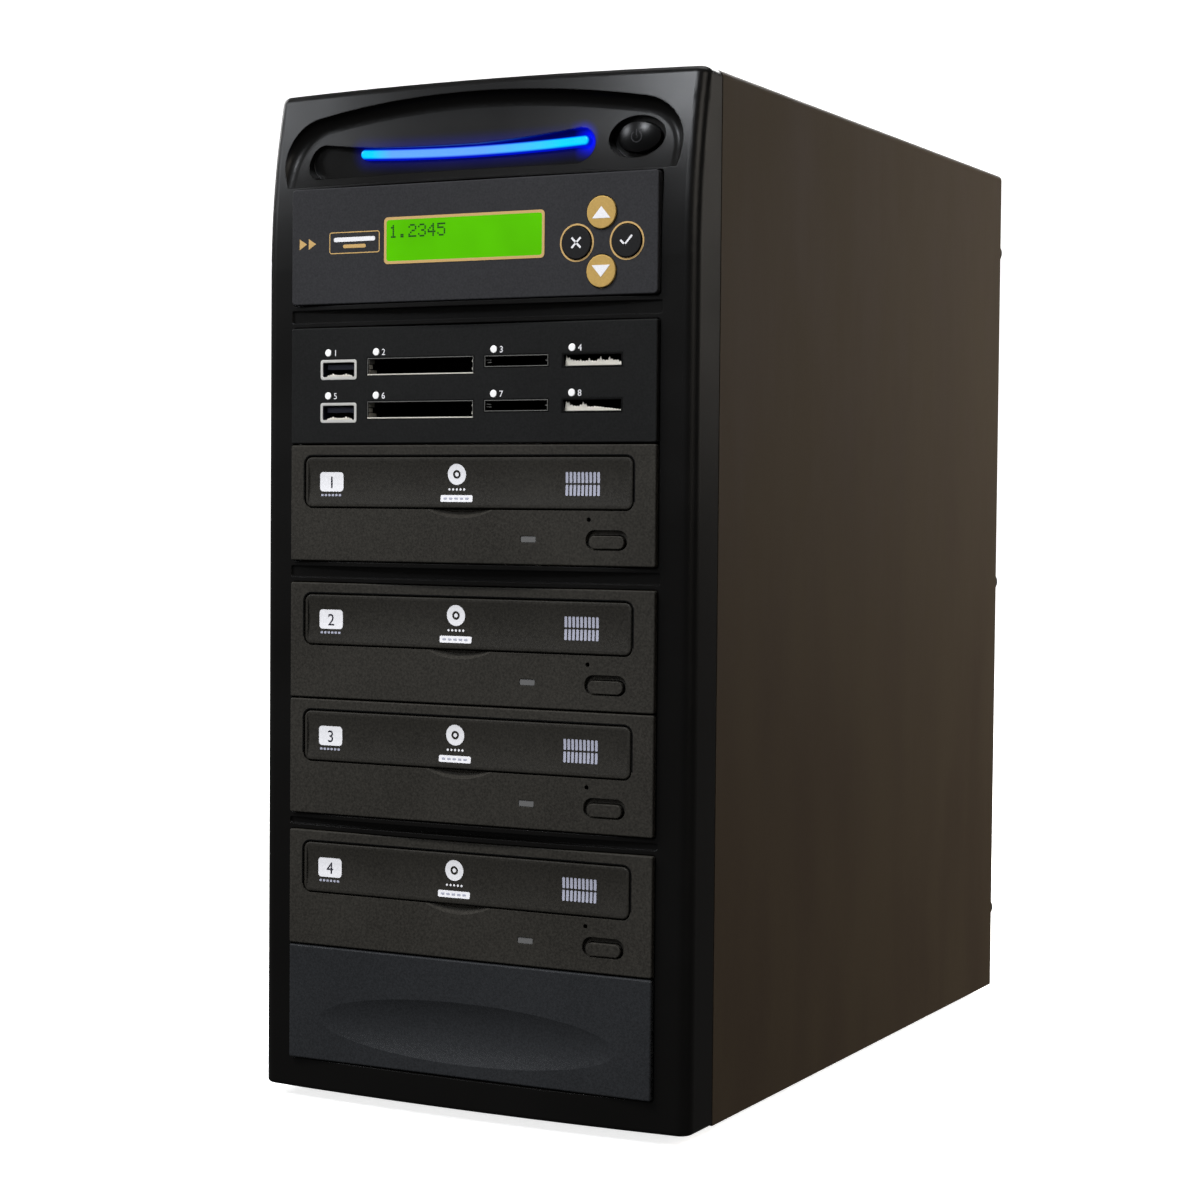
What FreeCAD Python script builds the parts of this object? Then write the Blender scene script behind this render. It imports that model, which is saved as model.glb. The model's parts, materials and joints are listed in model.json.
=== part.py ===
"""Tower that copies optical discs, as an assembly of separate pieces.

While it is built, X = 0 is the middle plane, Y = 0 is the front plane of the
bay faces with the depth along +Y, and Z = 0 is the underside of the steel
case. Every piece is moved as it is written, so that the finished part stands
on its feet with the middle of its footprint at the origin.
"""
import FreeCAD, Part
import math
import os
from FreeCAD import Vector

# Helpers' values
overrun = 10.0
tolerance = 0.001
fillet_limit_share = 0.49
lead_run_share = 0.45

# Clearances between pieces
panel_gap = 0.35
moving_gap = 0.3
fixed_gap = 0.15
shaft_gap = 0.05

# Sheet metal
cover_sheet = 1.0
chassis_sheet = 1.0
shell_sheet = 0.8

# Disc tray
disc_diameter = 120.0
disc_gap = 0.6
small_disc_diameter = 80.0
tray_rim = 3.4
tray_nose = 6.0
tray_engagement = 7.5
tray_plate = 4.0
tray_rail_height = 7.0
tray_rail_width = 2.4
tray_nose_wall = 2.6
disc_recess_depth = 1.6
small_recess_depth = 1.0
tray_slot_half = 18.0
finger_notch_radius = 11.0
finger_notch_angle = 60.0
finger_notch_inset = 6.0
tray_corner = 3.0
stroke_margin = 2.0

# Drive shell and its face
tray_side_room = 8.2
panel_overhang = 1.0
drive_back_room = 17.2
shell_height_gap = 0.25
bezel_thickness = 5.0
tray_front_thickness = 3.4
tray_front_height = 18.0
tray_front_top_land = 4.3
tray_front_left_land = 6.4
tray_front_right_land = 8.8
tray_front_corner = 2.6
tray_front_gap = 0.5
tray_front_dish = 0.5
tray_front_dish_edge = 1.2
tray_rise = 9.5
disc_headroom = 6.2
scallop_width = 26.4
scallop_drop = 3.0
scallop_depth = 2.4
scallop_flare = 2.2
scallop_offset = 1.5
eject_recess_below = 7.1
eject_recess_width = 16.2
eject_recess_height = 7.0
eject_recess_depth = 1.5
eject_recess_from_right = 18.6
eject_bottom_land = 5.4
eject_width = 13.4
eject_height = 4.5
eject_drop = 0.7
eject_proud = 0.3
eject_flange = 1.0
eject_flange_thickness = 1.0
eject_travel = 1.0
lamp_width = 6.1
lamp_height = 2.3
lamp_from_recess = 22.5
hole_diameter = 1.6
hole_inset = 1.2
hole_above_recess = 3.5
panel_corner = 0.8
panel_edge = 0.5

# Drive mechanism
turntable_diameter = 30.0
turntable_thickness = 3.0
hub_diameter = 14.6
hub_top_diameter = 12.0
hub_height = 2.8
turntable_below_recess = 0.4
spindle_diameter = 3.0
spindle_length = 10.0
motor_diameter = 26.0
motor_turntable_gap = 0.4
sled_half_length = 9.0
sled_half_width = 28.0
sled_height = 6.0
sled_below_rail = 0.5
sled_start = 24.0
sled_stroke = 34.0
lens_tower_radius = 5.5
lens_radius = 2.6
lens_proud = 0.5
lens_below_recess = 1.4
rod_diameter = 3.0
rod_offset = 24.0
rod_end_room = 6.0
bracket_size = 6.0
traverse_half_width = 34.0
traverse_plate = 2.0
traverse_front = 20.0
deck_plate = 2.0
deck_front = 12.5
rod_above_traverse = 5.4
runner_under_tray = 3.0
runner_height = 2.4
guide_wall = 2.4
guide_over_tray = 2.2
guide_height = 1.5
board_thickness = 1.6
board_gap = 0.3
board_length = 100.0
plug_width = 17.0
plug_height = 7.6
plug_proud = 1.0
plug_in_board = 6.0
puck_radius = 13.0
puck_thickness = 1.5
puck_neck_radius = 7.6
puck_flange_radius = 10.0
puck_flange_thickness = 1.0
bridge_thickness = 1.0
bridge_half_width = 14.0
puck_play = 0.3
switch_size = 6.0
switch_depth = 2.1
eject_board_width = 21.0

# Bays up the front, from the bottom
bottom_margin = 11.5
pair_gap = 0.6
low_divider = 6.3
middle_divider = 8.0
top_divider = 8.4
top_margin = 35.9
pillar_width = 13.0

# Control panel
panel_thickness = 3.0
control_left_land = 39.4
window_width = 65.0
window_height = 16.6
window_to_keys = 6.4
key_diameter = 11.2
key_spread = 9.6
key_climb = 10.0
control_right_land = 6.2
control_edge_land = 2.5
key_drop = 2.7
window_above_keys = 3.7
key_proud = 0.6
key_flange = 1.0
key_flange_thickness = 1.0
key_travel = 0.5
key_edge = 0.3
window_frame = 2.0
display_setback = 0.8
display_board_y = 8.5
display_board_edge = 3.0
standoff_radius = 2.0

# Card reader
reader_left_land = 12.65
reader_right_land = 12.6
usb_width = 15.4
usb_height = 7.2
usb_to_large_gap = 4.9
large_to_flat_gap = 5.1
flat_to_stick_gap = 6.2
large_card_width = 43.2
large_card_height = 5.4
flat_card_width = 24.7
flat_card_height = 3.4
stick_width = 22.3
stick_height = 3.8
reader_top_land = 11.6
reader_row_gap = 8.3
reader_bottom_land = 7.5
slot_lip = 0.7
slot_wall = 1.4
slot_depth = 30.0
usb_depth = 14.0
usb_wall = 1.0
usb_tongue = 1.9
usb_tongue_inset = 1.6
reader_lamp_diameter = 2.8
reader_lamp_rise = 2.5
reader_lamp_inset = 3.3
reader_depth = 62.0
controller_depth = 150.0
chip_size = 30.0
chip_height = 2.4
bay_tray_sheet = 1.0
bay_ear_height = 34.0

# Blank cover
blank_thickness = 4.0
blank_dish_width_share = 0.82
blank_dish_height_share = 0.53
blank_dish_drop = 5.2
blank_dish_depth = 1.8
blank_edge = 0.7
blank_ear_past_screw = 8.0

# Front bezel
bezel_depth = 22.2
bezel_wall = 2.5
bezel_crown = 0.8
bezel_corner = 5.0
bezel_plan_sag = 3.6
bezel_top_sag = 8.0
bezel_sweep = 4.3
bezel_sweep_height = 64.5
bezel_top_round = 3.0
bezel_bottom_round = 1.5
bezel_front_wall = 6.0
bezel_top_wall = 13.2
opening_corner = 1.2
divider_lip = 1.6
divider_groove = 2.5
groove_side = 0.6

# Hooded scoop with the light bar and the power button
arch_side = 6.0
arch_band = 4.5
arch_shoulder_drop = 5.25
arch_shoulder_in = 14.6
arch_foot_rise = 1.2
scoop_depth = 4.5
scoop_middle_depth = 4.3
scoop_round = 4.6
light_slot_inset = 9.5
light_slot_end = 12.9
light_slot_rise = 3.9
light_slot_sag = 3.5
light_slot_floor = 10.8
light_bar_left = 22.9
light_bar_right = 5.9
light_bar_rise = 1.1
light_bar_height = 3.8
light_bar_bow = 1.2
light_bar_proud = 2.2
light_bar_flange = 3.0
light_bar_flange_thickness = 2.0
slot_to_button = 4.7
button_inset = 8.7
button_hole_width = 20.6
button_hole_height = 15.0
button_hole_rise = 12.5
button_hole_floor = 11.0
button_width = 16.2
button_height = 10.3
button_face = 6.8
button_dome = 2.4
button_flange = 1.2
button_flange_thickness = 1.4
button_travel = 1.2
switch_board_height = 18.0
switch_board_side = 6.0

# Case
cover_length = 303.1
cover_seam = 0.5
cover_round = 2.5
cover_foot_flange = 8.0
cover_rear_flange = 11.0
base_wall_height = 9.0
rear_flange = 10.0
cage_sheet = 1.0
cage_gap = 0.15
cage_depth = 190.0
cage_flange = 9.0
cage_screw_rise = 10.0
cage_screw_front = 47.4
cage_screw_pitch = 79.25
cage_window_height = 14.0
cage_window_side = 16.0
cage_fit = 0.2

# Feet and fasteners
foot_height = 4.0
foot_radius = 9.0
foot_inset = 27.0
foot_round = 1.2
screw_head_radius = 2.9
screw_head_height = 1.7
screw_shank_radius = 1.5
fan_screw_grip = 8.0
thumbscrew_radius = 5.0
thumbscrew_length = 5.5
thumbscrew_collar = 1.0
thumbscrew_inset = 6.0
thumbscrew_tip = 2.0
thumbscrew_rows_share = (0.08, 0.5, 0.92)

# Power supply
supply_side_room = 11.0
supply_height = 86.0
supply_depth = 118.0
supply_sheet = 1.0
supply_fan_side = 5.0
supply_window_land = 4.0
supply_fan_depth = 20.0
supply_screw_inset = 6.0
inlet_width = 24.6
inlet_height = 16.6
inlet_depth = 16.0
inlet_wall = 1.6
inlet_flange = 2.0
inlet_flange_thickness = 1.5
inlet_corner_cut = 4.0
inlet_from_side = 26.0
inlet_rise = 24.0
inlet_floor = 2.0
blade_width = 2.0
blade_height = 4.0
blade_setback = 2.0
blade_spread = 7.0
blade_climb = 2.0
rocker_rise = 60.0
rocker_width = 16.0
rocker_height = 11.0
rocker_body = 6.0
rocker_proud = 2.2
rocker_dip = 1.0
rocker_tilt = 8.0
rocker_pin_radius = 1.2
rocker_pin_length = 1.4
rocker_frame_wall = 1.6
rocker_gap = 0.9
transformer_size = 34.0
heatsink_thickness = 4.0
heatsink_height = 40.0
grille_half_width = 40.0
grille_pitch = 7.0
grille_slot = 3.0
grille_rows = 4

# Case fan
fan_size = 80.0
fan_depth = 20.0
fan_duct_radius = 37.5
fan_hub_radius = 17.0
fan_blade_count = 7
fan_blade_tip_gap = 1.2
fan_blade_thickness = 1.4
fan_blade_pitch = 38.0
fan_wall_gap = 1.5
fan_post_radius = 14.0
fan_post_length = 4.0
fan_strut_width = 4.0
fan_strut_count = 3
fan_axle_radius = 1.6
fan_hub_wall = 2.0
fan_corner = 5.0
fan_hole_radius = 2.1
fan_hole_inset = 4.25
fan_rise_share = 0.68
vent_ring_count = 4
vent_ring_land = 2.6
vent_spoke_width = 3.2
vent_centre_radius = 9.0

# Leads inside the case
data_lead_radius = 2.0
data_lead_first = 8.0
data_lead_step = 5.2
data_lead_bend = 12.0
data_lead_spread = 9.0
loom_hole_half = 8.0
loom_rise = 8.0
data_plug_offset = 12.0
power_plug_offset = -8.0
power_trunk_radius = 3.0
power_branch_radius = 2.2
power_trunk_back = 16.0
lead_plug_length = 5.0
lead_plug_width = 8.0
lead_plug_height = 5.0

# Panel size: what the widest and the tallest of the bay faces needs
disc_recess_radius = disc_diameter / 2 + disc_gap
tray_width = 2 * disc_recess_radius + 2 * tray_rim
drive_face_width = tray_width + 2 * (tray_side_room + shell_sheet + panel_overhang)
reader_face_width = (reader_left_land + usb_width + usb_to_large_gap + large_card_width
                     + large_to_flat_gap + flat_card_width + flat_to_stick_gap + stick_width
                     + reader_right_land)
key_reach = key_spread + key_diameter / 2
control_face_width = (control_left_land + window_width + window_to_keys
                      + 2 * key_reach + control_right_land)
panel_width = max(drive_face_width, reader_face_width, control_face_width)

eject_recess_drop = tray_front_top_land + tray_front_height + eject_recess_below
drive_face_height = eject_recess_drop + eject_recess_height + eject_bottom_land
reader_face_height = reader_top_land + 2 * usb_height + reader_row_gap + reader_bottom_land
control_face_height = 2 * (key_drop + key_climb + key_diameter / 2 + control_edge_land)
panel_height = max(drive_face_height, reader_face_height, control_face_height)

half_panel = panel_width / 2
drive_width = panel_width - 2 * panel_overhang
case_width = panel_width + 2 * pillar_width
half_width = case_width / 2
inner_half = half_width - cover_sheet
supply_width = 2 * (inner_half - supply_side_room)
supply_fan_radius = supply_height / 2 - supply_fan_side

# Heights of the bays
z_blank = bottom_margin
z_drive_4 = z_blank + panel_height + pair_gap
z_drive_3 = z_drive_4 + panel_height + low_divider
z_drive_2 = z_drive_3 + panel_height + pair_gap
z_drive_1 = z_drive_2 + panel_height + middle_divider
z_reader = z_drive_1 + panel_height + pair_gap
z_control = z_reader + panel_height + top_divider
control_top = z_control + panel_height
case_height = control_top + top_margin
drive_floors = {1: z_drive_1, 2: z_drive_2, 3: z_drive_3, 4: z_drive_4}
bay_groups = [
    (z_blank, z_drive_4 + panel_height),
    (z_drive_3, z_drive_2 + panel_height),
    (z_drive_1, z_reader + panel_height),
    (z_control, control_top),
]

bezel_split = control_top + panel_gap + bezel_wall
cage_top = bezel_split - moving_gap - cage_sheet

# Depths along Y
cover_front = bezel_depth + cover_seam
cover_back = bezel_depth + cover_length
rear_outer = cover_back - cover_sheet
rear_inner = rear_outer - chassis_sheet
base_front = bezel_depth + cover_seam
base_top = cover_sheet + chassis_sheet

# Row frame: feet on Z = 0, middle of the footprint at X = Y = 0
front_reach = max(key_proud, bezel_crown)
rear_reach = thumbscrew_length
total_depth = front_reach + cover_back + rear_reach
to_row_frame = Vector(0, front_reach - total_depth / 2, foot_height)

X_AXIS = Vector(1, 0, 0)
Y_AXIS = Vector(0, 1, 0)
Z_AXIS = Vector(0, 0, 1)


def save(name, *solids):
    """Write one node, moved into the row frame."""
    shape = solids[0] if len(solids) == 1 else Part.makeCompound(list(solids))
    shape = shape.copy()
    shape.translate(to_row_frame)
    shape.exportStep(f"parts/{name}.step")


def box(x0, x1, y0, y1, z0, z1):
    return Part.makeBox(x1 - x0, y1 - y0, z1 - z0, Vector(x0, y0, z0))


def rod_x(radius, x0, x1, y, z):
    return Part.makeCylinder(radius, x1 - x0, Vector(x0, y, z), X_AXIS)


def rod_y(radius, y0, y1, x, z):
    return Part.makeCylinder(radius, y1 - y0, Vector(x, y0, z), Y_AXIS)


def rod_z(radius, z0, z1, x, y):
    return Part.makeCylinder(radius, z1 - z0, Vector(x, y, z0), Z_AXIS)


def fuse(shapes):
    """Join overlapping or touching shapes into one solid."""
    joined = shapes[0].multiFuse(list(shapes[1:])) if len(shapes) > 1 else shapes[0]
    return joined.removeSplitter()


def cut(body, *tools):
    return body.cut(list(tools))


def mirror_x(shape):
    return shape.mirror(Vector(0, 0, 0), X_AXIS)


def edges_along(shape, axis):
    """Straight edges that run along an axis."""
    found = []
    for edge in shape.Edges:
        if isinstance(edge.Curve, Part.Line):
            if abs(edge.Curve.Direction.dot(axis)) > 1 - tolerance:
                found.append(edge)
    return found


def edges_in_plane(shape, axis, value):
    """Edges that lie in the plane where the coordinate along an axis is value."""
    found = []
    for edge in shape.Edges:
        low, high = {
            "x": (edge.BoundBox.XMin, edge.BoundBox.XMax),
            "y": (edge.BoundBox.YMin, edge.BoundBox.YMax),
            "z": (edge.BoundBox.ZMin, edge.BoundBox.ZMax),
        }[axis]
        if abs(low - value) < tolerance and abs(high - value) < tolerance:
            found.append(edge)
    return found


def round_box(x0, x1, y0, y1, z0, z1, radius, axis):
    """Box whose four edges along one axis are rounded."""
    block = box(x0, x1, y0, y1, z0, z1)
    if axis is X_AXIS:
        spans = (y1 - y0, z1 - z0)
    elif axis is Y_AXIS:
        spans = (x1 - x0, z1 - z0)
    else:
        spans = (x1 - x0, y1 - y0)
    radius = min(radius, fillet_limit_share * min(spans))
    return block.makeFillet(radius, edges_along(block, axis))


def face_plate(x0, x1, y0, y1, z0, z1, corner, edge):
    """Plate seen from the front, with rounded corners and a softened front edge."""
    plate = round_box(x0, x1, y0, y1, z0, z1, corner, Y_AXIS)
    edge = min(edge, fillet_limit_share * (y1 - y0))
    return plate.makeFillet(edge, edges_in_plane(plate, "y", y0))


def ellipse_prism(width, height, y0, y1, x, z):
    """Prism along Y with an elliptical outline."""
    centre = Vector(x, y0, z)
    if width > height:
        curve = Part.Ellipse(centre + Vector(width / 2, 0, 0),
                             centre + Vector(0, 0, height / 2), centre)
    else:
        curve = Part.Ellipse(centre + Vector(0, 0, height / 2),
                             centre + Vector(width / 2, 0, 0), centre)
    face = Part.Face(Part.Wire([curve.toShape()]))
    return face.extrude(Vector(0, y1 - y0, 0))


def polygon_prism(points, direction):
    face = Part.Face(Part.makePolygon(points + [points[0]]))
    return face.extrude(direction)


def arc_mid(centre, radius, start, end):
    """Middle point of the short arc between two points of a circle."""
    middle = (start + end) / 2 - centre
    return centre + middle.normalize() * radius


def screw_x(x, y, z, side, grip):
    """Pan-head screw on a cage plate: its head outside, its shank pointing in."""
    head = rod_x(screw_head_radius, 0, screw_head_height, 0, 0)
    head = head.makeFillet(screw_head_height / 2, edges_in_plane(head, "x", screw_head_height))
    shank = rod_x(screw_shank_radius, -grip, 0, 0, 0)
    screw = fuse([head, shank])
    if side < 0:
        screw = mirror_x(screw)
    screw.translate(Vector(x, y, z))
    return screw


def screw_y(x, y, z, grip):
    """Pan-head screw in the rear panel: its head towards the back."""
    head = rod_y(screw_head_radius, 0, screw_head_height, 0, 0)
    head = head.makeFillet(screw_head_height / 2, edges_in_plane(head, "y", screw_head_height))
    shank = rod_y(screw_shank_radius, -grip, 0, 0, 0)
    screw = fuse([head, shank])
    screw.translate(Vector(x, y, z))
    return screw


def ring_vent(x, z, radius, y0, y1):
    """Curved slots of a round fan vent, as cutters."""
    pitch = (radius - vent_centre_radius) / vent_ring_count
    slots = []
    for index in range(vent_ring_count):
        inner = vent_centre_radius + index * pitch + vent_ring_land
        outer = vent_centre_radius + (index + 1) * pitch
        ring = rod_y(outer, y0, y1, x, z).cut(rod_y(inner, y0 - overrun, y1 + overrun, x, z))
        slots.append(ring)
    spoke_reach = radius + overrun
    spoke = box(x - spoke_reach, x + spoke_reach, y0 - overrun, y1 + overrun,
                z - vent_spoke_width / 2, z + vent_spoke_width / 2)
    second = spoke.copy()
    second.rotate(Vector(x, 0, z), Y_AXIS, 90)
    slots = Part.makeCompound(slots).cut([spoke, second])
    slots.rotate(Vector(x, 0, z), Y_AXIS, 45)
    return slots


def fan_rotor(x, z, y0, depth, duct_radius, axle_end):
    """Hub and blades on an axle that points to the post."""
    y1 = y0 + depth
    hub = rod_y(fan_hub_radius, y0, y1, x, z)
    hub = hub.makeFillet(fan_hub_wall / 2, edges_in_plane(hub, "y", y0))
    hollow = rod_y(fan_hub_radius - fan_hub_wall, y0 + fan_hub_wall, y1 + overrun, x, z)
    hub = hub.cut(hollow)
    tip = duct_radius - fan_blade_tip_gap
    room = rod_y(tip, y0, y1, x, z).cut(
        rod_y(fan_hub_radius - fan_hub_wall / 2, y0 - overrun, y1 + overrun, x, z))
    blades = []
    for index in range(fan_blade_count):
        middle = (y0 + y1) / 2
        blade = box(x, x + tip + overrun, middle - depth, middle + depth,
                    z - fan_blade_thickness / 2, z + fan_blade_thickness / 2)
        blade.rotate(Vector(x, middle, z), X_AXIS, fan_blade_pitch)
        blade.rotate(Vector(x, middle, z), Y_AXIS, index * 360 / fan_blade_count)
        blades.append(blade.common(room))
    axle = rod_y(fan_axle_radius, y0 + fan_hub_wall / 2, axle_end, x, z)
    return fuse([hub, axle] + blades)


def fan_frame(x, z, size, y0, y1, duct_radius):
    """Square fan frame with its motor post on struts at the back end."""
    half = size / 2
    frame = round_box(x - half, x + half, y0, y1, z - half, z + half, fan_corner, Y_AXIS)
    duct = rod_y(duct_radius, y0 - overrun, y1 + overrun, x, z)
    hole_at = half - fan_hole_inset
    holes = [rod_y(fan_hole_radius, y0 - overrun, y1 + overrun, x + i * hole_at, z + k * hole_at)
             for i in (-1, 1) for k in (-1, 1)]
    frame = cut(frame, duct, *holes)
    post = rod_y(fan_post_radius, y1 - fan_post_length, y1, x, z)
    struts = []
    for index in range(fan_strut_count):
        strut = box(x, x + duct_radius + fan_hub_wall / 2, y1 - fan_hub_wall, y1,
                    z - fan_strut_width / 2, z + fan_strut_width / 2)
        strut.rotate(Vector(x, 0, z), Y_AXIS, index * 360 / fan_strut_count + 90)
        struts.append(strut)
    body = fuse([frame, post] + struts)
    bore = rod_y(fan_axle_radius + shaft_gap, y1 - fan_post_length - overrun,
                 y1 - fan_hub_wall / 2, x, z)
    return body.cut(bore)


def lead(points, radius):
    """Round lead along straight runs joined by tangent arcs."""
    edges = []
    last = points[0]
    for before, corner, after in zip(points, points[1:], points[2:]):
        inward = (before - corner).normalize()
        outward = (after - corner).normalize()
        half_turn = (math.pi - inward.getAngle(outward)) / 2
        shorter = min((before - corner).Length, (after - corner).Length)
        bend = min(data_lead_bend, lead_run_share * shorter / math.tan(half_turn))
        reach = bend * math.tan(half_turn)
        start = corner + inward * reach
        end = corner + outward * reach
        to_centre = (inward + outward).normalize() * (bend / math.cos(half_turn))
        centre = corner + to_centre
        middle = centre - to_centre.normalize() * bend
        edges.append(Part.LineSegment(last, start).toShape())
        edges.append(Part.Arc(start, middle, end).toShape())
        last = end
    edges.append(Part.LineSegment(last, points[-1]).toShape())
    path = Part.Wire(edges)
    direction = points[1] - points[0]
    section = Part.Wire([Part.Circle(points[0], direction, radius).toShape()])
    return path.makePipeShell([section], True, False)


# Places on a drive face, from the bay's floor upward
tray_centre_x = (tray_front_left_land - tray_front_right_land) / 2
tray_front_x0 = -half_panel + tray_front_left_land
tray_front_x1 = half_panel - tray_front_right_land
tray_front_base = panel_height - tray_front_top_land - tray_front_height
tray_top = tray_front_base + tray_rise
tray_y0 = tray_front_thickness
tray_stroke = tray_y0 + tray_nose + 2 * disc_recess_radius + stroke_margin
tray_y1 = tray_stroke + deck_front + tray_engagement
disc_y = tray_y0 + tray_nose + disc_recess_radius
shell_y0 = bezel_thickness
shell_y1 = tray_y1 + drive_back_room
eject_x = half_panel - eject_recess_from_right
eject_recess_z = panel_height - eject_recess_drop - eject_recess_height / 2
eject_z = eject_recess_z - eject_drop
rail_bottom = tray_top - tray_rail_height
sled_top = rail_bottom - sled_below_rail
rod_z_centre = sled_top - sled_height / 2
traverse_z = rod_z_centre - rod_above_traverse
turntable_top = tray_top - disc_recess_depth - turntable_below_recess
turntable_bottom = turntable_top - turntable_thickness
motor_top = turntable_bottom - motor_turntable_gap
shell_inner_floor = shell_height_gap + shell_sheet
shell_inner_top = panel_height - shell_height_gap - shell_sheet
shell_inner_half = drive_width / 2 - shell_sheet


def drive_shell(z):
    """Folded sheet shell, open at the front, with cut-outs for the plugs behind."""
    half = drive_width / 2
    outer = box(-half, half, shell_y0, shell_y1,
                z + shell_height_gap, z + panel_height - shell_height_gap)
    inner = box(-shell_inner_half, shell_inner_half, shell_y0 - overrun, shell_y1 - shell_sheet,
                z + shell_inner_floor, z + shell_inner_top)
    tools = [inner]
    for offset in (data_plug_offset, power_plug_offset):
        tools.append(plug_block(z, offset, fixed_gap, shell_y1 - overrun, shell_y1 + overrun))
    for y in cage_screw_rows():
        tools.append(side_hole(y, z + cage_screw_rise))
    return cut(outer, *tools)


def cage_screw_rows():
    """Places along the depth of the two screws on each side of a drive."""
    first = bezel_thickness + cage_screw_front
    return [first, first + cage_screw_pitch]


def side_hole(y, z):
    """Cutter for a pair of screw holes, one on each side."""
    reach = drive_width / 2 + overrun
    return rod_x(screw_shank_radius, -reach, reach, y, z)


def plug_block(z, offset, gap, y0, y1):
    """Block of one plug on the drive's board, grown by a gap."""
    half = plug_width / 2
    base = z + shell_inner_floor + board_gap + board_thickness
    return box(offset - half - gap, offset + half + gap, y0, y1, base - gap, base + plug_height + gap)


def drive_bezel(z):
    """Moulded face of a drive."""
    plate = face_plate(-half_panel, half_panel, 0, bezel_thickness, z, z + panel_height,
                       panel_corner, panel_edge)
    base = z + tray_front_base
    gap = tray_front_gap
    pocket = round_box(tray_front_x0 - gap, tray_front_x1 + gap, -overrun, tray_front_thickness + moving_gap,
                       base - gap, base + tray_front_height + gap, tray_front_corner + gap, Y_AXIS)
    window_half = tray_width / 2 + moving_gap
    window = box(tray_centre_x - window_half, tray_centre_x + window_half, -overrun,
                 bezel_thickness + overrun, z + rail_bottom - moving_gap, z + tray_top + disc_headroom)
    radius = (scallop_width ** 2 / 4 + scallop_drop ** 2) / (2 * scallop_drop)
    rim = base - gap
    cone = Part.makeCone(radius, radius - scallop_flare, scallop_depth,
                         Vector(tray_centre_x - scallop_offset, 0, rim - scallop_drop + radius), Y_AXIS)
    below = box(-half_panel, half_panel, -overrun, scallop_depth, rim - 2 * scallop_drop, rim + gap)
    scallop = cone.common(below)
    recess = round_box(eject_x - eject_recess_width / 2, eject_x + eject_recess_width / 2,
                       -overrun, eject_recess_depth,
                       z + eject_recess_z - eject_recess_height / 2,
                       z + eject_recess_z + eject_recess_height / 2, eject_recess_height / 2, Y_AXIS)
    hole = eject_capsule(z, moving_gap, -overrun, bezel_thickness + overrun)
    lamp = lamp_block(z, 0, -overrun, bezel_thickness + overrun)
    pin_hole = rod_y(hole_diameter / 2, -overrun, bezel_thickness + overrun,
                     eject_x - eject_recess_width / 2 + hole_inset,
                     z + eject_recess_z + eject_recess_height / 2 + hole_above_recess)
    return cut(plate, pocket, window, scallop, recess, hole, lamp, pin_hole)


def lamp_block(z, inset, y0, y1):
    """Rounded bar of the busy lamp."""
    x = eject_x - eject_recess_width / 2 - lamp_from_recess
    half = lamp_width / 2 - inset
    rise = lamp_height / 2 - inset
    middle = z + eject_recess_z
    return round_box(x - half, x + half, y0, y1, middle - rise, middle + rise, lamp_height / 4, Y_AXIS)


def eject_capsule(z, grow, y0, y1):
    """Rounded bar of the eject button, grown all round."""
    half = eject_width / 2 + grow
    rise = eject_height / 2 + grow
    return round_box(eject_x - half, eject_x + half, y0, y1,
                     z + eject_z - rise, z + eject_z + rise, rise, Y_AXIS)


def eject_button(z):
    back = bezel_thickness + moving_gap
    cap = eject_capsule(z, 0, -eject_proud, back + eject_flange_thickness)
    cap = cap.makeFillet(eject_proud, edges_in_plane(cap, "y", -eject_proud))
    flange = eject_capsule(z, eject_flange, back, back + eject_flange_thickness)
    return fuse([cap, flange])


def tray_front(z):
    """Front of the disc tray, dished a little from top to bottom."""
    base = z + tray_front_base
    plate = face_plate(tray_front_x0, tray_front_x1, 0, tray_front_thickness,
                       base, base + tray_front_height, tray_front_corner, panel_edge)
    chord = tray_front_height - 2 * tray_front_dish_edge
    radius = (chord ** 2 / 4 + tray_front_dish ** 2) / (2 * tray_front_dish)
    dish = rod_x(radius, tray_front_x0 + tray_front_dish_edge, tray_front_x1 - tray_front_dish_edge,
                 tray_front_dish - radius, base + tray_front_height / 2)
    return plate.cut(dish)


def disc_tray(z):
    """Tray with its disc recesses and a slot that runs out through its back edge."""
    top = z + tray_top
    x0 = tray_centre_x - tray_width / 2
    x1 = tray_centre_x + tray_width / 2
    plate = round_box(x0, x1, tray_y0, tray_y1, top - tray_plate, top, tray_corner, Z_AXIS)
    nose = box(x0 + tray_corner, x1 - tray_corner, tray_y0, tray_y0 + tray_nose_wall,
               z + rail_bottom, top - tray_plate / 2)
    rails = []
    for low in (x0, x1 - tray_rail_width):
        rails.append(box(low, low + tray_rail_width, tray_y0 + tray_corner, tray_y1 - tray_corner,
                         z + rail_bottom, top - tray_plate / 2))
    body = fuse([plate, nose] + rails)
    recess = rod_z(disc_recess_radius, top - disc_recess_depth, top + overrun, tray_centre_x, disc_y)
    floor = top - disc_recess_depth - small_recess_depth
    small = rod_z(small_disc_diameter / 2 + disc_gap, floor, top + overrun, tray_centre_x, disc_y)
    hub = rod_z(tray_slot_half, z, top + overrun, tray_centre_x, disc_y)
    slot = box(tray_centre_x - tray_slot_half, tray_centre_x + tray_slot_half, disc_y,
               tray_y1 + overrun, z, top + overrun)
    angle = math.radians(finger_notch_angle)
    reach = disc_recess_radius - finger_notch_inset
    notches = [rod_z(finger_notch_radius, floor, top + overrun,
                     tray_centre_x + side * reach * math.cos(angle), disc_y - reach * math.sin(angle))
               for side in (-1, 1)]
    return cut(body, recess, small, hub, slot, *notches)


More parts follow.
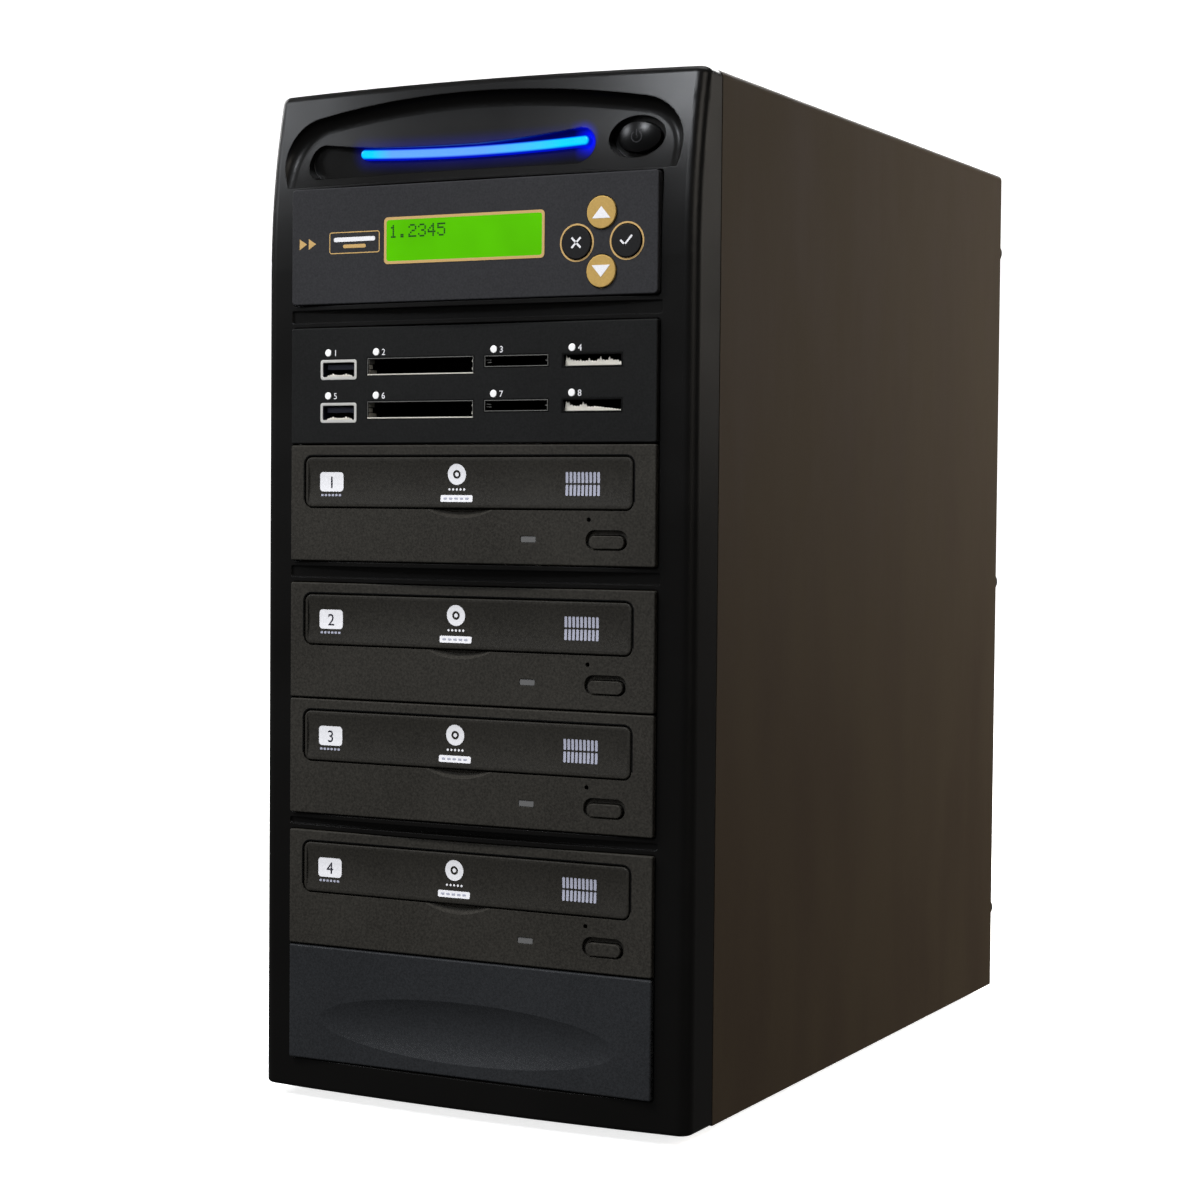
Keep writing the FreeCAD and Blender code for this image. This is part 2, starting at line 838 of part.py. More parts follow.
def turntable(z):
    """Turntable with its centring hub and spindle."""
    x = tray_centre_x
    plate = rod_z(turntable_diameter / 2, z + turntable_bottom, z + turntable_top, x, disc_y)
    hub = Part.makeCone(hub_diameter / 2, hub_top_diameter / 2, hub_height,
                        Vector(x, disc_y, z + turntable_top), Z_AXIS)
    hub = hub.makeFillet(small_recess_depth / 2, edges_in_plane(hub, "z", z + turntable_top + hub_height))
    spindle = rod_z(spindle_diameter / 2, z + turntable_bottom - spindle_length,
                    z + turntable_bottom, x, disc_y)
    return fuse([plate, hub, spindle])


def pickup(z):
    """Optical sled with its lens, on two guide rods."""
    y = disc_y + sled_start
    x = tray_centre_x
    body = box(x - sled_half_width, x + sled_half_width, y - sled_half_length, y + sled_half_length,
               z + sled_top - sled_height, z + sled_top)
    body = body.makeFillet(panel_edge, edges_along(body, Z_AXIS))
    tower_top = z + tray_top - disc_recess_depth - small_recess_depth - lens_below_recess
    tower = rod_z(lens_tower_radius, z + sled_top - sled_height / 2, tower_top, x, y)
    lens = rod_z(lens_radius, tower_top - lens_proud, tower_top + lens_proud, x, y)
    body = fuse([body, tower, lens])
    bores = [rod_y(rod_diameter / 2 + shaft_gap, y - 2 * sled_half_length, y + 2 * sled_half_length,
                   x + side * rod_offset, z + rod_z_centre) for side in (-1, 1)]
    return cut(body, *bores)


def loader_frame(z):
    """Moulded deck with a channel on each side that carries and guides the tray."""
    deck_top = z + traverse_z
    y0 = deck_front
    y1 = shell_y1 - shell_sheet - moving_gap
    deck = box(-shell_inner_half + fixed_gap, shell_inner_half - fixed_gap, y0, y1,
               deck_top - deck_plate, deck_top)
    x = tray_centre_x
    reach = disc_y + sled_start + sled_stroke + sled_half_length + rod_end_room
    hole = box(x - sled_half_width, x + sled_half_width, disc_y - motor_diameter / 2, reach - bracket_size,
               deck_top - deck_plate - overrun, deck_top + overrun)
    deck = deck.cut(hole)
    edge = tray_width / 2
    wall = edge + moving_gap
    under = z + rail_bottom - moving_gap
    over = z + tray_top + moving_gap
    profile = [box(wall, wall + guide_wall, y0, y1, deck_top - deck_plate, over + guide_height),
               box(edge - runner_under_tray, wall + guide_wall, y0, y1, under - runner_height, under),
               box(edge - guide_over_tray, wall + guide_wall, y0, y1, over, over + guide_height)]
    channel = fuse(profile)
    channels = [channel, mirror_x(channel)]
    for side in channels:
        side.translate(Vector(x, 0, 0))
    return fuse([deck] + channels)


def traverse(z):
    """Traverse plate with motor, rods and their brackets, as separate solids."""
    x = tray_centre_x
    y0 = disc_y - traverse_front
    rod_start = disc_y + sled_start - sled_half_length - rod_diameter
    rod_end = disc_y + sled_start + sled_stroke + sled_half_length + rod_end_room
    z0 = z + traverse_z
    plate = box(x - traverse_half_width, x + traverse_half_width, y0, rod_end + bracket_size,
                z0, z0 + traverse_plate)
    hole = box(x - rod_offset + bracket_size, x + rod_offset - bracket_size,
               disc_y + motor_diameter / 2 + bracket_size / 2, rod_end - bracket_size / 2,
               z0 - overrun, z0 + overrun)
    plate = plate.cut(hole)
    brackets = []
    for side in (-1, 1):
        middle = x + side * rod_offset
        for low in (rod_start - bracket_size, rod_end):
            brackets.append(box(middle - bracket_size / 2, middle + bracket_size / 2, low, low + bracket_size,
                                z0 + traverse_plate / 2, z + rod_z_centre + rod_diameter))
    plate = fuse([plate] + brackets)
    rods = [rod_y(rod_diameter / 2, rod_start - bracket_size / 2, rod_end + bracket_size / 2,
                  x + side * rod_offset, z + rod_z_centre) for side in (-1, 1)]
    plate = cut(plate, *rods)
    motor = rod_z(motor_diameter / 2, z0 + traverse_plate, z + motor_top, x, disc_y)
    bore = rod_z(spindle_diameter / 2 + shaft_gap, z + turntable_bottom - spindle_length - moving_gap,
                 z + motor_top + overrun, x, disc_y)
    return [cut(plate, bore), cut(motor, bore)] + rods


def clamp(z):
    """Bridge over the disc and the puck that hangs in it."""
    x = tray_centre_x
    bottom = z + tray_top + disc_headroom + moving_gap
    puck_top = bottom + puck_thickness
    bridge_z = puck_top + puck_play
    bridge = box(-shell_inner_half, shell_inner_half, disc_y - bridge_half_width,
                 disc_y + bridge_half_width, bridge_z, bridge_z + bridge_thickness)
    hole = rod_z(puck_neck_radius + puck_play, bridge_z - overrun, bridge_z + overrun, x, disc_y)
    bridge = bridge.cut(hole)
    plate = rod_z(puck_radius, bottom, puck_top, x, disc_y)
    flange_z = bridge_z + bridge_thickness + puck_play / 2
    neck = rod_z(puck_neck_radius, puck_top, flange_z, x, disc_y)
    flange = rod_z(puck_flange_radius, flange_z, flange_z + puck_flange_thickness, x, disc_y)
    return [bridge, fuse([plate, neck, flange])]


def drive_boards(z):
    """Main board with two plugs, and the small board of the eject switch."""
    base = z + shell_inner_floor + board_gap
    y1 = shell_y1 - shell_sheet - moving_gap
    board = box(-shell_inner_half + moving_gap, shell_inner_half - moving_gap, y1 - board_length, y1,
                base, base + board_thickness)
    plugs = [plug_block(z, offset, 0, y1 - plug_in_board, shell_y1 + plug_proud)
             for offset in (data_plug_offset, power_plug_offset)]
    switch_front = bezel_thickness + 2 * moving_gap + eject_flange_thickness + eject_travel
    board_y = switch_front + switch_depth
    small_x1 = min(eject_x + eject_board_width / 2, shell_inner_half - moving_gap)
    small = box(small_x1 - eject_board_width, small_x1, board_y, board_y + board_thickness,
                z + shell_inner_floor, z + eject_z + switch_size)
    switch = box(eject_x - switch_size / 2, eject_x + switch_size / 2, switch_front, board_y,
                 z + eject_z - switch_size / 2, z + eject_z + switch_size / 2)
    return [board, small, switch] + plugs


def build_drives():
    mechanisms = []
    for number, z in drive_floors.items():
        save(f"drive_{number}_shell", drive_shell(z))
        save(f"drive_{number}_bezel", drive_bezel(z))
        save(f"drive_{number}_tray", disc_tray(z))
        save(f"drive_{number}_tray_front", tray_front(z))
        save(f"drive_{number}_eject_button", eject_button(z))
        save(f"drive_{number}_turntable", turntable(z))
        save(f"drive_{number}_pickup", pickup(z))
        mechanisms += [loader_frame(z)] + traverse(z) + clamp(z) + drive_boards(z)
    save("drive_mechanisms", *mechanisms)


# Front bezel
def front_y(share):
    """Middle of the front, where share is how far up the swept part it is."""
    return -bezel_crown + bezel_sweep * share ** 2


def bezel_section(share):
    """Outline of the bezel seen from above: bowed front and rounded corners."""
    sag = bezel_plan_sag + (bezel_top_sag - bezel_plan_sag) * share ** 2
    z = case_height - bezel_sweep_height * (1 - share)
    radius = (half_width ** 2 + sag ** 2) / (2 * sag)
    front = front_y(share)
    centre = Vector(0, front + radius, z)
    inset = half_width - bezel_corner
    corner_y = centre.y - math.sqrt((radius - bezel_corner) ** 2 - inset ** 2)
    points = {}
    for side in (-1, 1):
        corner = Vector(side * inset, corner_y, z)
        touch = centre + (corner - centre).normalize() * radius
        flank = Vector(side * half_width, corner_y, z)
        points[side] = (corner, touch, flank)
    left_corner, left_touch, left_flank = points[-1]
    right_corner, right_touch, right_flank = points[1]
    left_back = Vector(-half_width, bezel_depth, z)
    right_back = Vector(half_width, bezel_depth, z)
    edges = [
        Part.LineSegment(left_back, left_flank),
        Part.Arc(left_flank, arc_mid(left_corner, bezel_corner, left_flank, left_touch), left_touch),
        Part.Arc(left_touch, Vector(0, front, z), right_touch),
        Part.Arc(right_touch, arc_mid(right_corner, bezel_corner, right_touch, right_flank), right_flank),
        Part.LineSegment(right_flank, right_back),
        Part.LineSegment(right_back, left_back),
    ]
    return Part.Wire([edge.toShape() for edge in edges])


def bezel_body():
    """Solid outer form of the bezel, rounded round its top and bottom."""
    straight = case_height - bezel_sweep_height
    lower_wire = bezel_section(0)
    lower_wire.translate(Vector(0, 0, -straight))
    lower = Part.Face(lower_wire).extrude(Vector(0, 0, straight))
    steps = 5
    wires = [bezel_section(index / steps) for index in range(steps + 1)]
    upper = Part.makeLoft(wires, True, False)
    rims = []
    for solid, level, radius in ((lower, 0, bezel_bottom_round), (upper, case_height, bezel_top_round)):
        rim = [edge for edge in edges_in_plane(solid, "z", level)
               if edge.BoundBox.YMin < bezel_depth - tolerance]
        rims.append(solid.makeFillet(radius, rim))
    return rims[0].fuse(rims[1])


def arch_half():
    return half_width - arch_side


def arch_prism(y0, y1):
    """Prism of the arched outline of the scoop, smooth from its sides into its top."""
    half = arch_half()
    foot = control_top + arch_foot_rise
    peak = case_height - arch_band
    shoulder = Vector(half - arch_shoulder_in, y0, peak - arch_shoulder_drop)
    arch_radius = (shoulder.x ** 2 + arch_shoulder_drop ** 2) / (2 * arch_shoulder_drop)
    slope = math.asin(shoulder.x / arch_radius)
    radius = arch_shoulder_in / (1 - math.sin(slope))
    spring = shoulder.z - radius * math.cos(slope)
    corner = Vector(half - radius + radius * math.sqrt(0.5), y0, spring + radius * math.sqrt(0.5))
    points = [Vector(-half, y0, foot), Vector(-half, y0, spring),
              Vector(-shoulder.x, y0, shoulder.z), Vector(shoulder.x, y0, shoulder.z),
              Vector(half, y0, spring), Vector(half, y0, foot)]
    edges = [
        Part.LineSegment(points[0], points[1]),
        Part.Arc(points[1], Vector(-corner.x, y0, corner.z), points[2]),
        Part.Arc(points[2], Vector(0, y0, peak), points[3]),
        Part.Arc(points[3], corner, points[4]),
        Part.LineSegment(points[4], points[5]),
        Part.LineSegment(points[5], points[0]),
    ]
    face = Part.Face(Part.Wire([edge.toShape() for edge in edges]))
    return face.extrude(Vector(0, y1 - y0, 0))


def share_at(z):
    return 1 - (case_height - z) / bezel_sweep_height


def is_straight(edge):
    return edge.Curve.TypeId == "Part::GeomLine"


def scoop():
    """Hollow under the arch: its floor bows in plan and curves forward into the arch."""
    foot = control_top + arch_foot_rise
    peak = case_height - arch_band
    middle = (foot + peak) / 2
    low = Vector(0, front_y(share_at(foot)) - tolerance, foot)
    bend = Vector(0, front_y(share_at(middle)) + scoop_middle_depth, middle)
    high = Vector(0, front_y(share_at(peak)) + scoop_depth, peak)
    over = high + (high - bend).normalize() * overrun
    front_low = Vector(0, low.y - overrun, foot)
    front_high = Vector(0, low.y - overrun, over.z)
    edges = [
        Part.Arc(low, bend, over),
        Part.LineSegment(over, front_high),
        Part.LineSegment(front_high, front_low),
        Part.LineSegment(front_low, low),
    ]
    face = Part.Face(Part.Wire([edge.toShape() for edge in edges]))
    share = share_at(middle)
    sag = bezel_plan_sag + (bezel_top_sag - bezel_plan_sag) * share ** 2
    radius = (half_width ** 2 + sag ** 2) / (2 * sag)
    axis = Vector(0, front_y(share) + radius, 0)
    angle = math.degrees(math.asin(half_width / radius))
    face.rotate(axis, Z_AXIS, -angle)
    swept = face.revolve(axis, Z_AXIS, 2 * angle)
    hollow = swept.common(arch_prism(-2 * overrun, bezel_depth)).Solids[0]
    rim = [edge for edge in hollow.Edges
           if edge.BoundBox.YMin > 0 and tolerance < edge.BoundBox.ZLength and not is_straight(edge)]
    return hollow.makeFillet(scoop_round, rim)


def slot_points():
    """Ends of the light slot: left, right and the height of its middle line."""
    half = arch_half()
    left = -half + light_slot_inset
    right = half - button_inset - button_hole_width - slot_to_button
    return left, right, control_top + light_slot_rise + light_slot_end / 2


def slot_prism(y0, y1):
    """Long recess with round ends and a top edge that sags in the middle."""
    left, right, z = slot_points()
    radius = light_slot_end / 2
    top, low = z + radius, z - radius
    x0, x1 = left + radius, right - radius
    edges = [
        Part.Arc(Vector(x0, y0, low), Vector(left, y0, z), Vector(x0, y0, top)),
        Part.Arc(Vector(x0, y0, top), Vector((x0 + x1) / 2, y0, top - light_slot_sag), Vector(x1, y0, top)),
        Part.Arc(Vector(x1, y0, top), Vector(right, y0, z), Vector(x1, y0, low)),
        Part.LineSegment(Vector(x1, y0, low), Vector(x0, y0, low)),
    ]
    face = Part.Face(Part.Wire([edge.toShape() for edge in edges]))
    return face.extrude(Vector(0, y1 - y0, 0))


def light_bar_prism(grow, y0, y1):
    """Bar with round ends that bows down in the middle, grown all round."""
    left, right, z = slot_points()
    rise = light_bar_height / 2 + grow
    x0 = left + light_bar_left
    x1 = right - light_bar_right
    middle = (x0 + x1) / 2
    bow = light_bar_bow
    z += light_bar_rise + bow
    edges = [
        Part.Arc(Vector(x0, y0, z - rise), Vector(x0 - rise, y0, z), Vector(x0, y0, z + rise)),
        Part.Arc(Vector(x0, y0, z + rise), Vector(middle, y0, z + rise - bow), Vector(x1, y0, z + rise)),
        Part.Arc(Vector(x1, y0, z + rise), Vector(x1 + rise, y0, z), Vector(x1, y0, z - rise)),
        Part.Arc(Vector(x1, y0, z - rise), Vector(middle, y0, z - rise - bow), Vector(x0, y0, z - rise)),
    ]
    face = Part.Face(Part.Wire([edge.toShape() for edge in edges]))
    return face.extrude(Vector(0, y1 - y0, 0))


button_x = half_width - arch_side - button_inset - button_hole_width / 2
button_z = control_top + button_hole_rise


def front_bezel():
    body = bezel_body()
    wall = bezel_wall
    cavity_low = box(-half_width + wall, half_width - wall, bezel_front_wall, bezel_depth + overrun,
                     wall, bezel_split)
    cavity_high = box(-half_width + wall, half_width - wall, bezel_top_wall, bezel_depth + overrun,
                      bezel_split - overrun, case_height - wall)
    tools = [cavity_low, cavity_high]
    reach = half_panel + panel_gap
    for low, high in bay_groups:
        tools.append(round_box(-reach, reach, -overrun, bezel_depth, low - panel_gap, high + panel_gap,
                               opening_corner, Y_AXIS))
    for (_, below), (above, _) in zip(bay_groups, bay_groups[1:]):
        groove = round_box(-reach - groove_side, reach + groove_side, -overrun, divider_groove,
                           below + panel_gap + divider_lip, above - panel_gap - divider_lip,
                           divider_lip / 2, Y_AXIS)
        tools.append(groove)
    tools.append(scoop())
    tools.append(slot_prism(-overrun, light_slot_floor))
    tools.append(light_bar_prism(fixed_gap, 0, bezel_depth))
    tools.append(ellipse_prism(button_hole_width, button_hole_height, -overrun, button_hole_floor,
                               button_x, button_z))
    tools.append(ellipse_prism(button_width + 2 * moving_gap, button_height + 2 * moving_gap, 0,
                               bezel_depth, button_x, button_z))
    return cut(body, *tools)


def light_bar():
    bar = light_bar_prism(0, light_slot_floor - light_bar_proud, bezel_top_wall + tolerance)
    bar = bar.makeFillet(light_bar_proud / 2, edges_in_plane(bar, "y", light_slot_floor - light_bar_proud))
    flange = light_bar_prism(light_bar_flange, bezel_top_wall, bezel_top_wall + light_bar_flange_thickness)
    return fuse([bar, flange])


def power_button():
    """Oval button with a domed face and a flange behind the bezel."""
    back = bezel_top_wall + moving_gap
    prism = ellipse_prism(button_width, button_height, button_face - overrun,
                          back + button_flange_thickness, button_x, button_z)
    half = button_width / 2
    radius = (half ** 2 + button_dome ** 2) / (2 * button_dome)
    dome = Part.makeSphere(radius, Vector(button_x, button_face + radius, button_z), Y_AXIS)
    prism = prism.common(dome)
    flange = ellipse_prism(button_width + 2 * button_flange, button_height + 2 * button_flange,
                           back, back + button_flange_thickness, button_x, button_z)
    return fuse([prism, flange])


def front_switch_board():
    """Board behind the light bar and the button, on pillars, with its switch."""
    left, right, z = slot_points()
    switch_front = bezel_top_wall + 2 * moving_gap + button_flange_thickness + button_travel
    board_y = switch_front + switch_depth
    x0 = left + switch_board_side
    x1 = button_x + button_width / 2 + button_flange + switch_board_side
    z0 = button_z - switch_board_height / 2
    board = box(x0, x1, board_y, board_y + board_thickness, z0, z0 + switch_board_height)
    switch = box(button_x - switch_size / 2, button_x + switch_size / 2, switch_front, board_y,
                 button_z - switch_size / 2, button_z + switch_size / 2)
    pillars = []
    for x in (x0 + standoff_radius, x1 - standoff_radius):
        for rise in (standoff_radius, switch_board_height - standoff_radius):
            pillars.append(rod_y(standoff_radius, bezel_top_wall, board_y, x, z0 + rise))
    lamps = [box(x - switch_size / 2, x + switch_size / 2, bezel_top_wall + light_bar_flange_thickness,
                 board_y, z - switch_size / 4, z + switch_size / 4)
             for x in (left + light_bar_left, right - light_bar_right)]
    return [board, switch] + pillars + lamps


# Control panel
window_x0 = -half_panel + control_left_land
window_x1 = window_x0 + window_width
key_centre_x = half_panel - control_right_land - key_reach
key_centre_z = z_control + panel_height / 2 - key_drop
window_z = key_centre_z + window_above_keys
key_places = {
    "key_up": (key_centre_x, key_centre_z + key_climb),
    "key_down": (key_centre_x, key_centre_z - key_climb),
    "key_cancel": (key_centre_x - key_spread, key_centre_z),
    "key_confirm": (key_centre_x + key_spread, key_centre_z),
}


def bay_ears(z, y0, depth):
    """Two side plates of a bay unit, joined by a floor that carries a board."""
    outer = drive_width / 2
    base = z + (panel_height - bay_ear_height) / 2
    ears = []
    for low in (-outer, outer - bay_tray_sheet):
        ears.append(box(low, low + bay_tray_sheet, y0, y0 + depth, base, base + bay_ear_height))
    floor = box(-outer, outer, y0 + display_board_y + 2 * board_thickness, y0 + depth,
                base, base + bay_tray_sheet)
    return fuse(ears + [floor]).cut(side_hole(cage_screw_rows()[0], z + cage_screw_rise))


def control_panel():
    plate = face_plate(-half_panel, half_panel, 0, panel_thickness, z_control, control_top,
                       2 * panel_corner, panel_edge)
    tools = [box(window_x0 + window_frame, window_x1 - window_frame, -overrun, panel_thickness + overrun,
                 window_z - window_height / 2 + window_frame, window_z + window_height / 2 - window_frame)]
    for x, z in key_places.values():
        tools.append(rod_y(key_diameter / 2 + moving_gap, -overrun, panel_thickness + overrun, x, z))
    return cut(plate, *tools)


def key_cap(x, z):
    """Round key with a flange behind the panel."""
    back = panel_thickness + moving_gap
    cap = rod_y(key_diameter / 2, -key_proud, back, x, z)
    cap = cap.makeFillet(key_edge, edges_in_plane(cap, "y", -key_proud))
    flange = rod_y(key_diameter / 2 + key_flange, back, back + key_flange_thickness, x, z)
    return fuse([cap, flange])


def lcd_module():
    """Display in its window, the board behind it and the key switches."""
    frame = window_frame + fixed_gap
    screen = box(window_x0 + frame, window_x1 - frame, display_setback, panel_thickness,
                 window_z - window_height / 2 + frame, window_z + window_height / 2 - frame)
    body = box(window_x0, window_x1, panel_thickness, display_board_y,
               window_z - window_height / 2, window_z + window_height / 2)
    screen = fuse([screen, body])
    x0 = window_x0 - display_board_edge
    x1 = half_panel - control_right_land / 2
    z0 = z_control + display_board_edge
    z1 = control_top - display_board_edge
    board = box(x0, x1, display_board_y, display_board_y + board_thickness, z0, z1)
    front = panel_thickness + 2 * moving_gap + key_flange_thickness + key_travel
    switches = [box(x - switch_size / 2, x + switch_size / 2, front, display_board_y,
                    z - switch_size / 2, z + switch_size / 2) for x, z in key_places.values()]
    inset = 1.5 * standoff_radius
    posts = [rod_y(standoff_radius, panel_thickness, display_board_y, x, z)
             for x in (x0 + inset, x1 - inset) for z in (z0 + inset, z1 - inset)]
    return [screen, board] + switches + posts


def controller_board():
    """Tray of the controller with its board, chips and plugs."""
    tray = bay_ears(z_control, panel_thickness, controller_depth)
    base = z_control + (panel_height - bay_ear_height) / 2 + bay_tray_sheet
    y0 = panel_thickness + display_board_y + 3 * board_thickness
    y1 = panel_thickness + controller_depth - board_gap
    half = drive_width / 2 - bay_tray_sheet - board_gap
    posts = [rod_z(standoff_radius, base, base + 2 * board_thickness, x, y)
             for x in (-half + 2 * standoff_radius, half - 2 * standoff_radius)
             for y in (y0 + 2 * standoff_radius, y1 - 2 * standoff_radius)]
    board_z = base + 2 * board_thickness
    board = box(-half, half, y0, y1, board_z, board_z + board_thickness)
    top = board_z + board_thickness
    chip = box(-chip_size / 2, chip_size / 2, y0 + chip_size, y0 + 2 * chip_size, top, top + chip_height)
    plugs = [box(x - lead_plug_width / 2, x + lead_plug_width / 2, y1 - plug_in_board - lead_plug_length,
                 y1 - plug_in_board, top, top + lead_plug_height) for x in lead_ends()]
    return [tray, board, chip] + posts + plugs


def lead_ends():
    """Places across the case of the controller's data plugs, drive 1 first."""
    first = data_plug_offset + data_lead_spread
    return [first + index * (lead_plug_width + moving_gap + fixed_gap) for index in range(len(drive_floors))]


# Card reader
def card_places():
    """Socket name to middle, width and height, from left to right."""
    places = {}
    x = -half_panel + reader_left_land
    sizes = (("usb", usb_width, usb_height, usb_to_large_gap),
             ("large", large_card_width, large_card_height, large_to_flat_gap),
             ("flat", flat_card_width, flat_card_height, flat_to_stick_gap),
             ("stick", stick_width, stick_height, reader_right_land))
    for name, width, height, gap in sizes:
        places[name] = (x + width / 2, width, height)
        x += width + gap
    return places


def card_rows():
    """Top edges of the two rows of sockets."""
    first = z_reader + panel_height - reader_top_land
    return first, first - usb_height - reader_row_gap


def reader_lamps():
    """Middles of the round lamps, above the left end of each socket."""
    spots = []
    for top in card_rows():
        for x, width, _ in card_places().values():
            spots.append((x - width / 2 + reader_lamp_inset, top + reader_lamp_rise))
    return spots


def socket_box(name, top, grow, y0, y1):
    x, width, height = card_places()[name]
    return box(x - width / 2 - grow, x + width / 2 + grow, y0, y1, top - height - grow, top + grow)


def card_reader_face():
    plate = face_plate(-half_panel, half_panel, 0, panel_thickness, z_reader, z_reader + panel_height,
                       panel_corner, panel_edge)
    tools = []
    for top in card_rows():
        for name in card_places():
            if name == "usb":
                x, width, height = card_places()[name]
                tools.append(round_box(x - width / 2, x + width / 2, -overrun, panel_thickness + overrun,
                                       top - height, top, usb_wall, Y_AXIS))
            else:
                tools.append(socket_box(name, top, slot_lip, -overrun, panel_thickness + overrun))
    for x, z in reader_lamps():
        tools.append(rod_y(reader_lamp_diameter / 2, -overrun, panel_thickness + overrun, x, z))
    return cut(plate, *tools)


def card_slots():
    """Card slots behind the face, each a block with its card's space in it."""
    slots = []
    for top in card_rows():
        for name in card_places():
            if name == "usb":
                continue
            lip = socket_box(name, top, slot_lip, 0, panel_thickness)
            block = socket_box(name, top, slot_wall, panel_thickness, panel_thickness + slot_depth)
            space = socket_box(name, top, 0, -overrun, panel_thickness + slot_depth - slot_wall)
            slots.append(fuse([lip, block]).cut(space))
    return slots


def usb_sockets():
    """Metal sockets with a tongue inside."""
    sockets = []
    x, width, height = card_places()["usb"]
    for top in card_rows():
        shell = round_box(x - width / 2, x + width / 2, 0, usb_depth, top - height, top, usb_wall, Y_AXIS)
        space = round_box(x - width / 2 + usb_wall, x + width / 2 - usb_wall, -overrun,
                          usb_depth - usb_wall, top - height + usb_wall, top - usb_wall,
                          usb_wall / 2, Y_AXIS)
        tongue_top = top - usb_wall - usb_tongue / 3
        tongue = box(x - width / 2 + 2 * usb_wall, x + width / 2 - 2 * usb_wall, usb_tongue_inset,
                     usb_depth - usb_wall / 2, tongue_top - usb_tongue, tongue_top)
        sockets.append(fuse([shell.cut(space), tongue]))
    return sockets


def card_reader_body():
    """Tray of the reader with the board that the sockets are soldered to."""
    tray = bay_ears(z_reader, panel_thickness, reader_depth)
    x = drive_width / 2 - bay_tray_sheet - board_gap
    boards = []
    for top in card_rows():
        z1 = top - usb_height - board_gap
        boards.append(box(-x, x, panel_thickness + board_gap, panel_thickness + slot_depth + slot_wall,
                          z1 - board_thickness, z1))
    return [tray] + boards


def indicator_lamps():
    """Busy lamps of the drives and round lamps of the reader."""
    lamps = []
    for z in drive_floors.values():
        lamps.append(lamp_block(z, fixed_gap / 2, fixed_gap, bezel_thickness))
    for x, z in reader_lamps():
        lamp = rod_y(reader_lamp_diameter / 2 - fixed_gap / 2, -fixed_gap, panel_thickness, x, z)
        lamps.append(lamp.makeFillet(fixed_gap, edges_in_plane(lamp, "y", -fixed_gap)))
    return lamps


def blank_cover():
    """Blank face with a wide shallow dish and two side plates."""
    top = z_blank + panel_height
    plate = face_plate(-half_panel, half_panel, 0, blank_thickness, z_blank, top, panel_corner, blank_edge)
    outer = drive_width / 2
    base = z_blank + (panel_height - bay_ear_height) / 2
    ear_end = cage_screw_rows()[0] + blank_ear_past_screw
    ears = [box(low, low + bay_tray_sheet, blank_thickness / 2, ear_end, base, base + bay_ear_height)
            for low in (-outer, outer - bay_tray_sheet)]
    plate = fuse([plate] + ears).cut(side_hole(cage_screw_rows()[0], z_blank + cage_screw_rise))
    half_x = blank_dish_width_share * panel_width / 2
    half_z = blank_dish_height_share * panel_height / 2
    across = (half_z ** 2 + blank_dish_depth ** 2) / (2 * blank_dish_depth)
    axis_y = blank_dish_depth - across
    z = z_blank + panel_height / 2 - blank_dish_drop
    ends = [Vector(side * half_x, 0, z) for side in (-1, 1)]
    far = [Vector(side * half_x, axis_y, z) for side in (-1, 1)]
    edges = [
        Part.Arc(ends[0], Vector(0, blank_dish_depth, z), ends[1]),
        Part.LineSegment(ends[1], far[1]),
        Part.LineSegment(far[1], far[0]),
        Part.LineSegment(far[0], ends[0]),
    ]
    half_disc = Part.Face(Part.Wire([edge.toShape() for edge in edges]))
    dish = half_disc.revolve(Vector(0, axis_y, z), X_AXIS, 360)
    return plate.cut(dish)


# Case
def outer_cover():
    """Folded top and sides, with narrow flanges underneath and at the back."""
    sheet = cover_sheet
    outer = box(-half_width, half_width, cover_front, cover_back, 0, case_height)
    top_edges = [edge for edge in edges_along(outer, Y_AXIS) if edge.BoundBox.ZMin > case_height / 2]
    outer = outer.makeFillet(cover_round, top_edges)
    inner = box(-inner_half, inner_half, cover_front - overrun, cover_back - sheet,
                sheet, case_height - sheet)
    top_edges = [edge for edge in edges_along(inner, Y_AXIS) if edge.BoundBox.ZMin > case_height / 2]
    inner = inner.makeFillet(cover_round - sheet, top_edges)
    foot = half_width - cover_foot_flange
    under = box(-foot, foot, cover_front - overrun, cover_back + overrun, -overrun, sheet + overrun)
    back = half_width - cover_rear_flange
    behind = box(-back, back, cover_back - overrun, cover_back + overrun, -overrun,
                 case_height - cover_rear_flange)
    body = cut(outer, inner, under, behind)
    holes = [rod_y(screw_shank_radius + fixed_gap, cover_back - overrun, cover_back + overrun, x, z)
             for x, z in thumbscrew_places()]
    return cut(body, *holes)


def thumbscrew_places():
    """Three thumbscrews up each side of the back."""
    x = half_width - thumbscrew_inset
    low = thumbscrew_inset
    span = case_height - 2 * thumbscrew_inset
    return [(side * x, low + share * span) for side in (-1, 1) for share in thumbscrew_rows_share]


def thumbscrews():
    screws = []
    neck = cover_back + thumbscrew_collar
    end = cover_back + thumbscrew_length
    for x, z in thumbscrew_places():
        collar = rod_y(thumbscrew_radius - thumbscrew_collar, cover_back, neck, x, z)
        head = rod_y(thumbscrew_radius, neck, end, x, z)
        head = head.makeFillet(thumbscrew_collar / 2, edges_in_plane(head, "y", end))
        shank = rod_y(screw_shank_radius, rear_inner - thumbscrew_tip, neck, x, z)
        screws.append(fuse([collar, head, shank]))
    return screws


base_half = inner_half - cage_fit


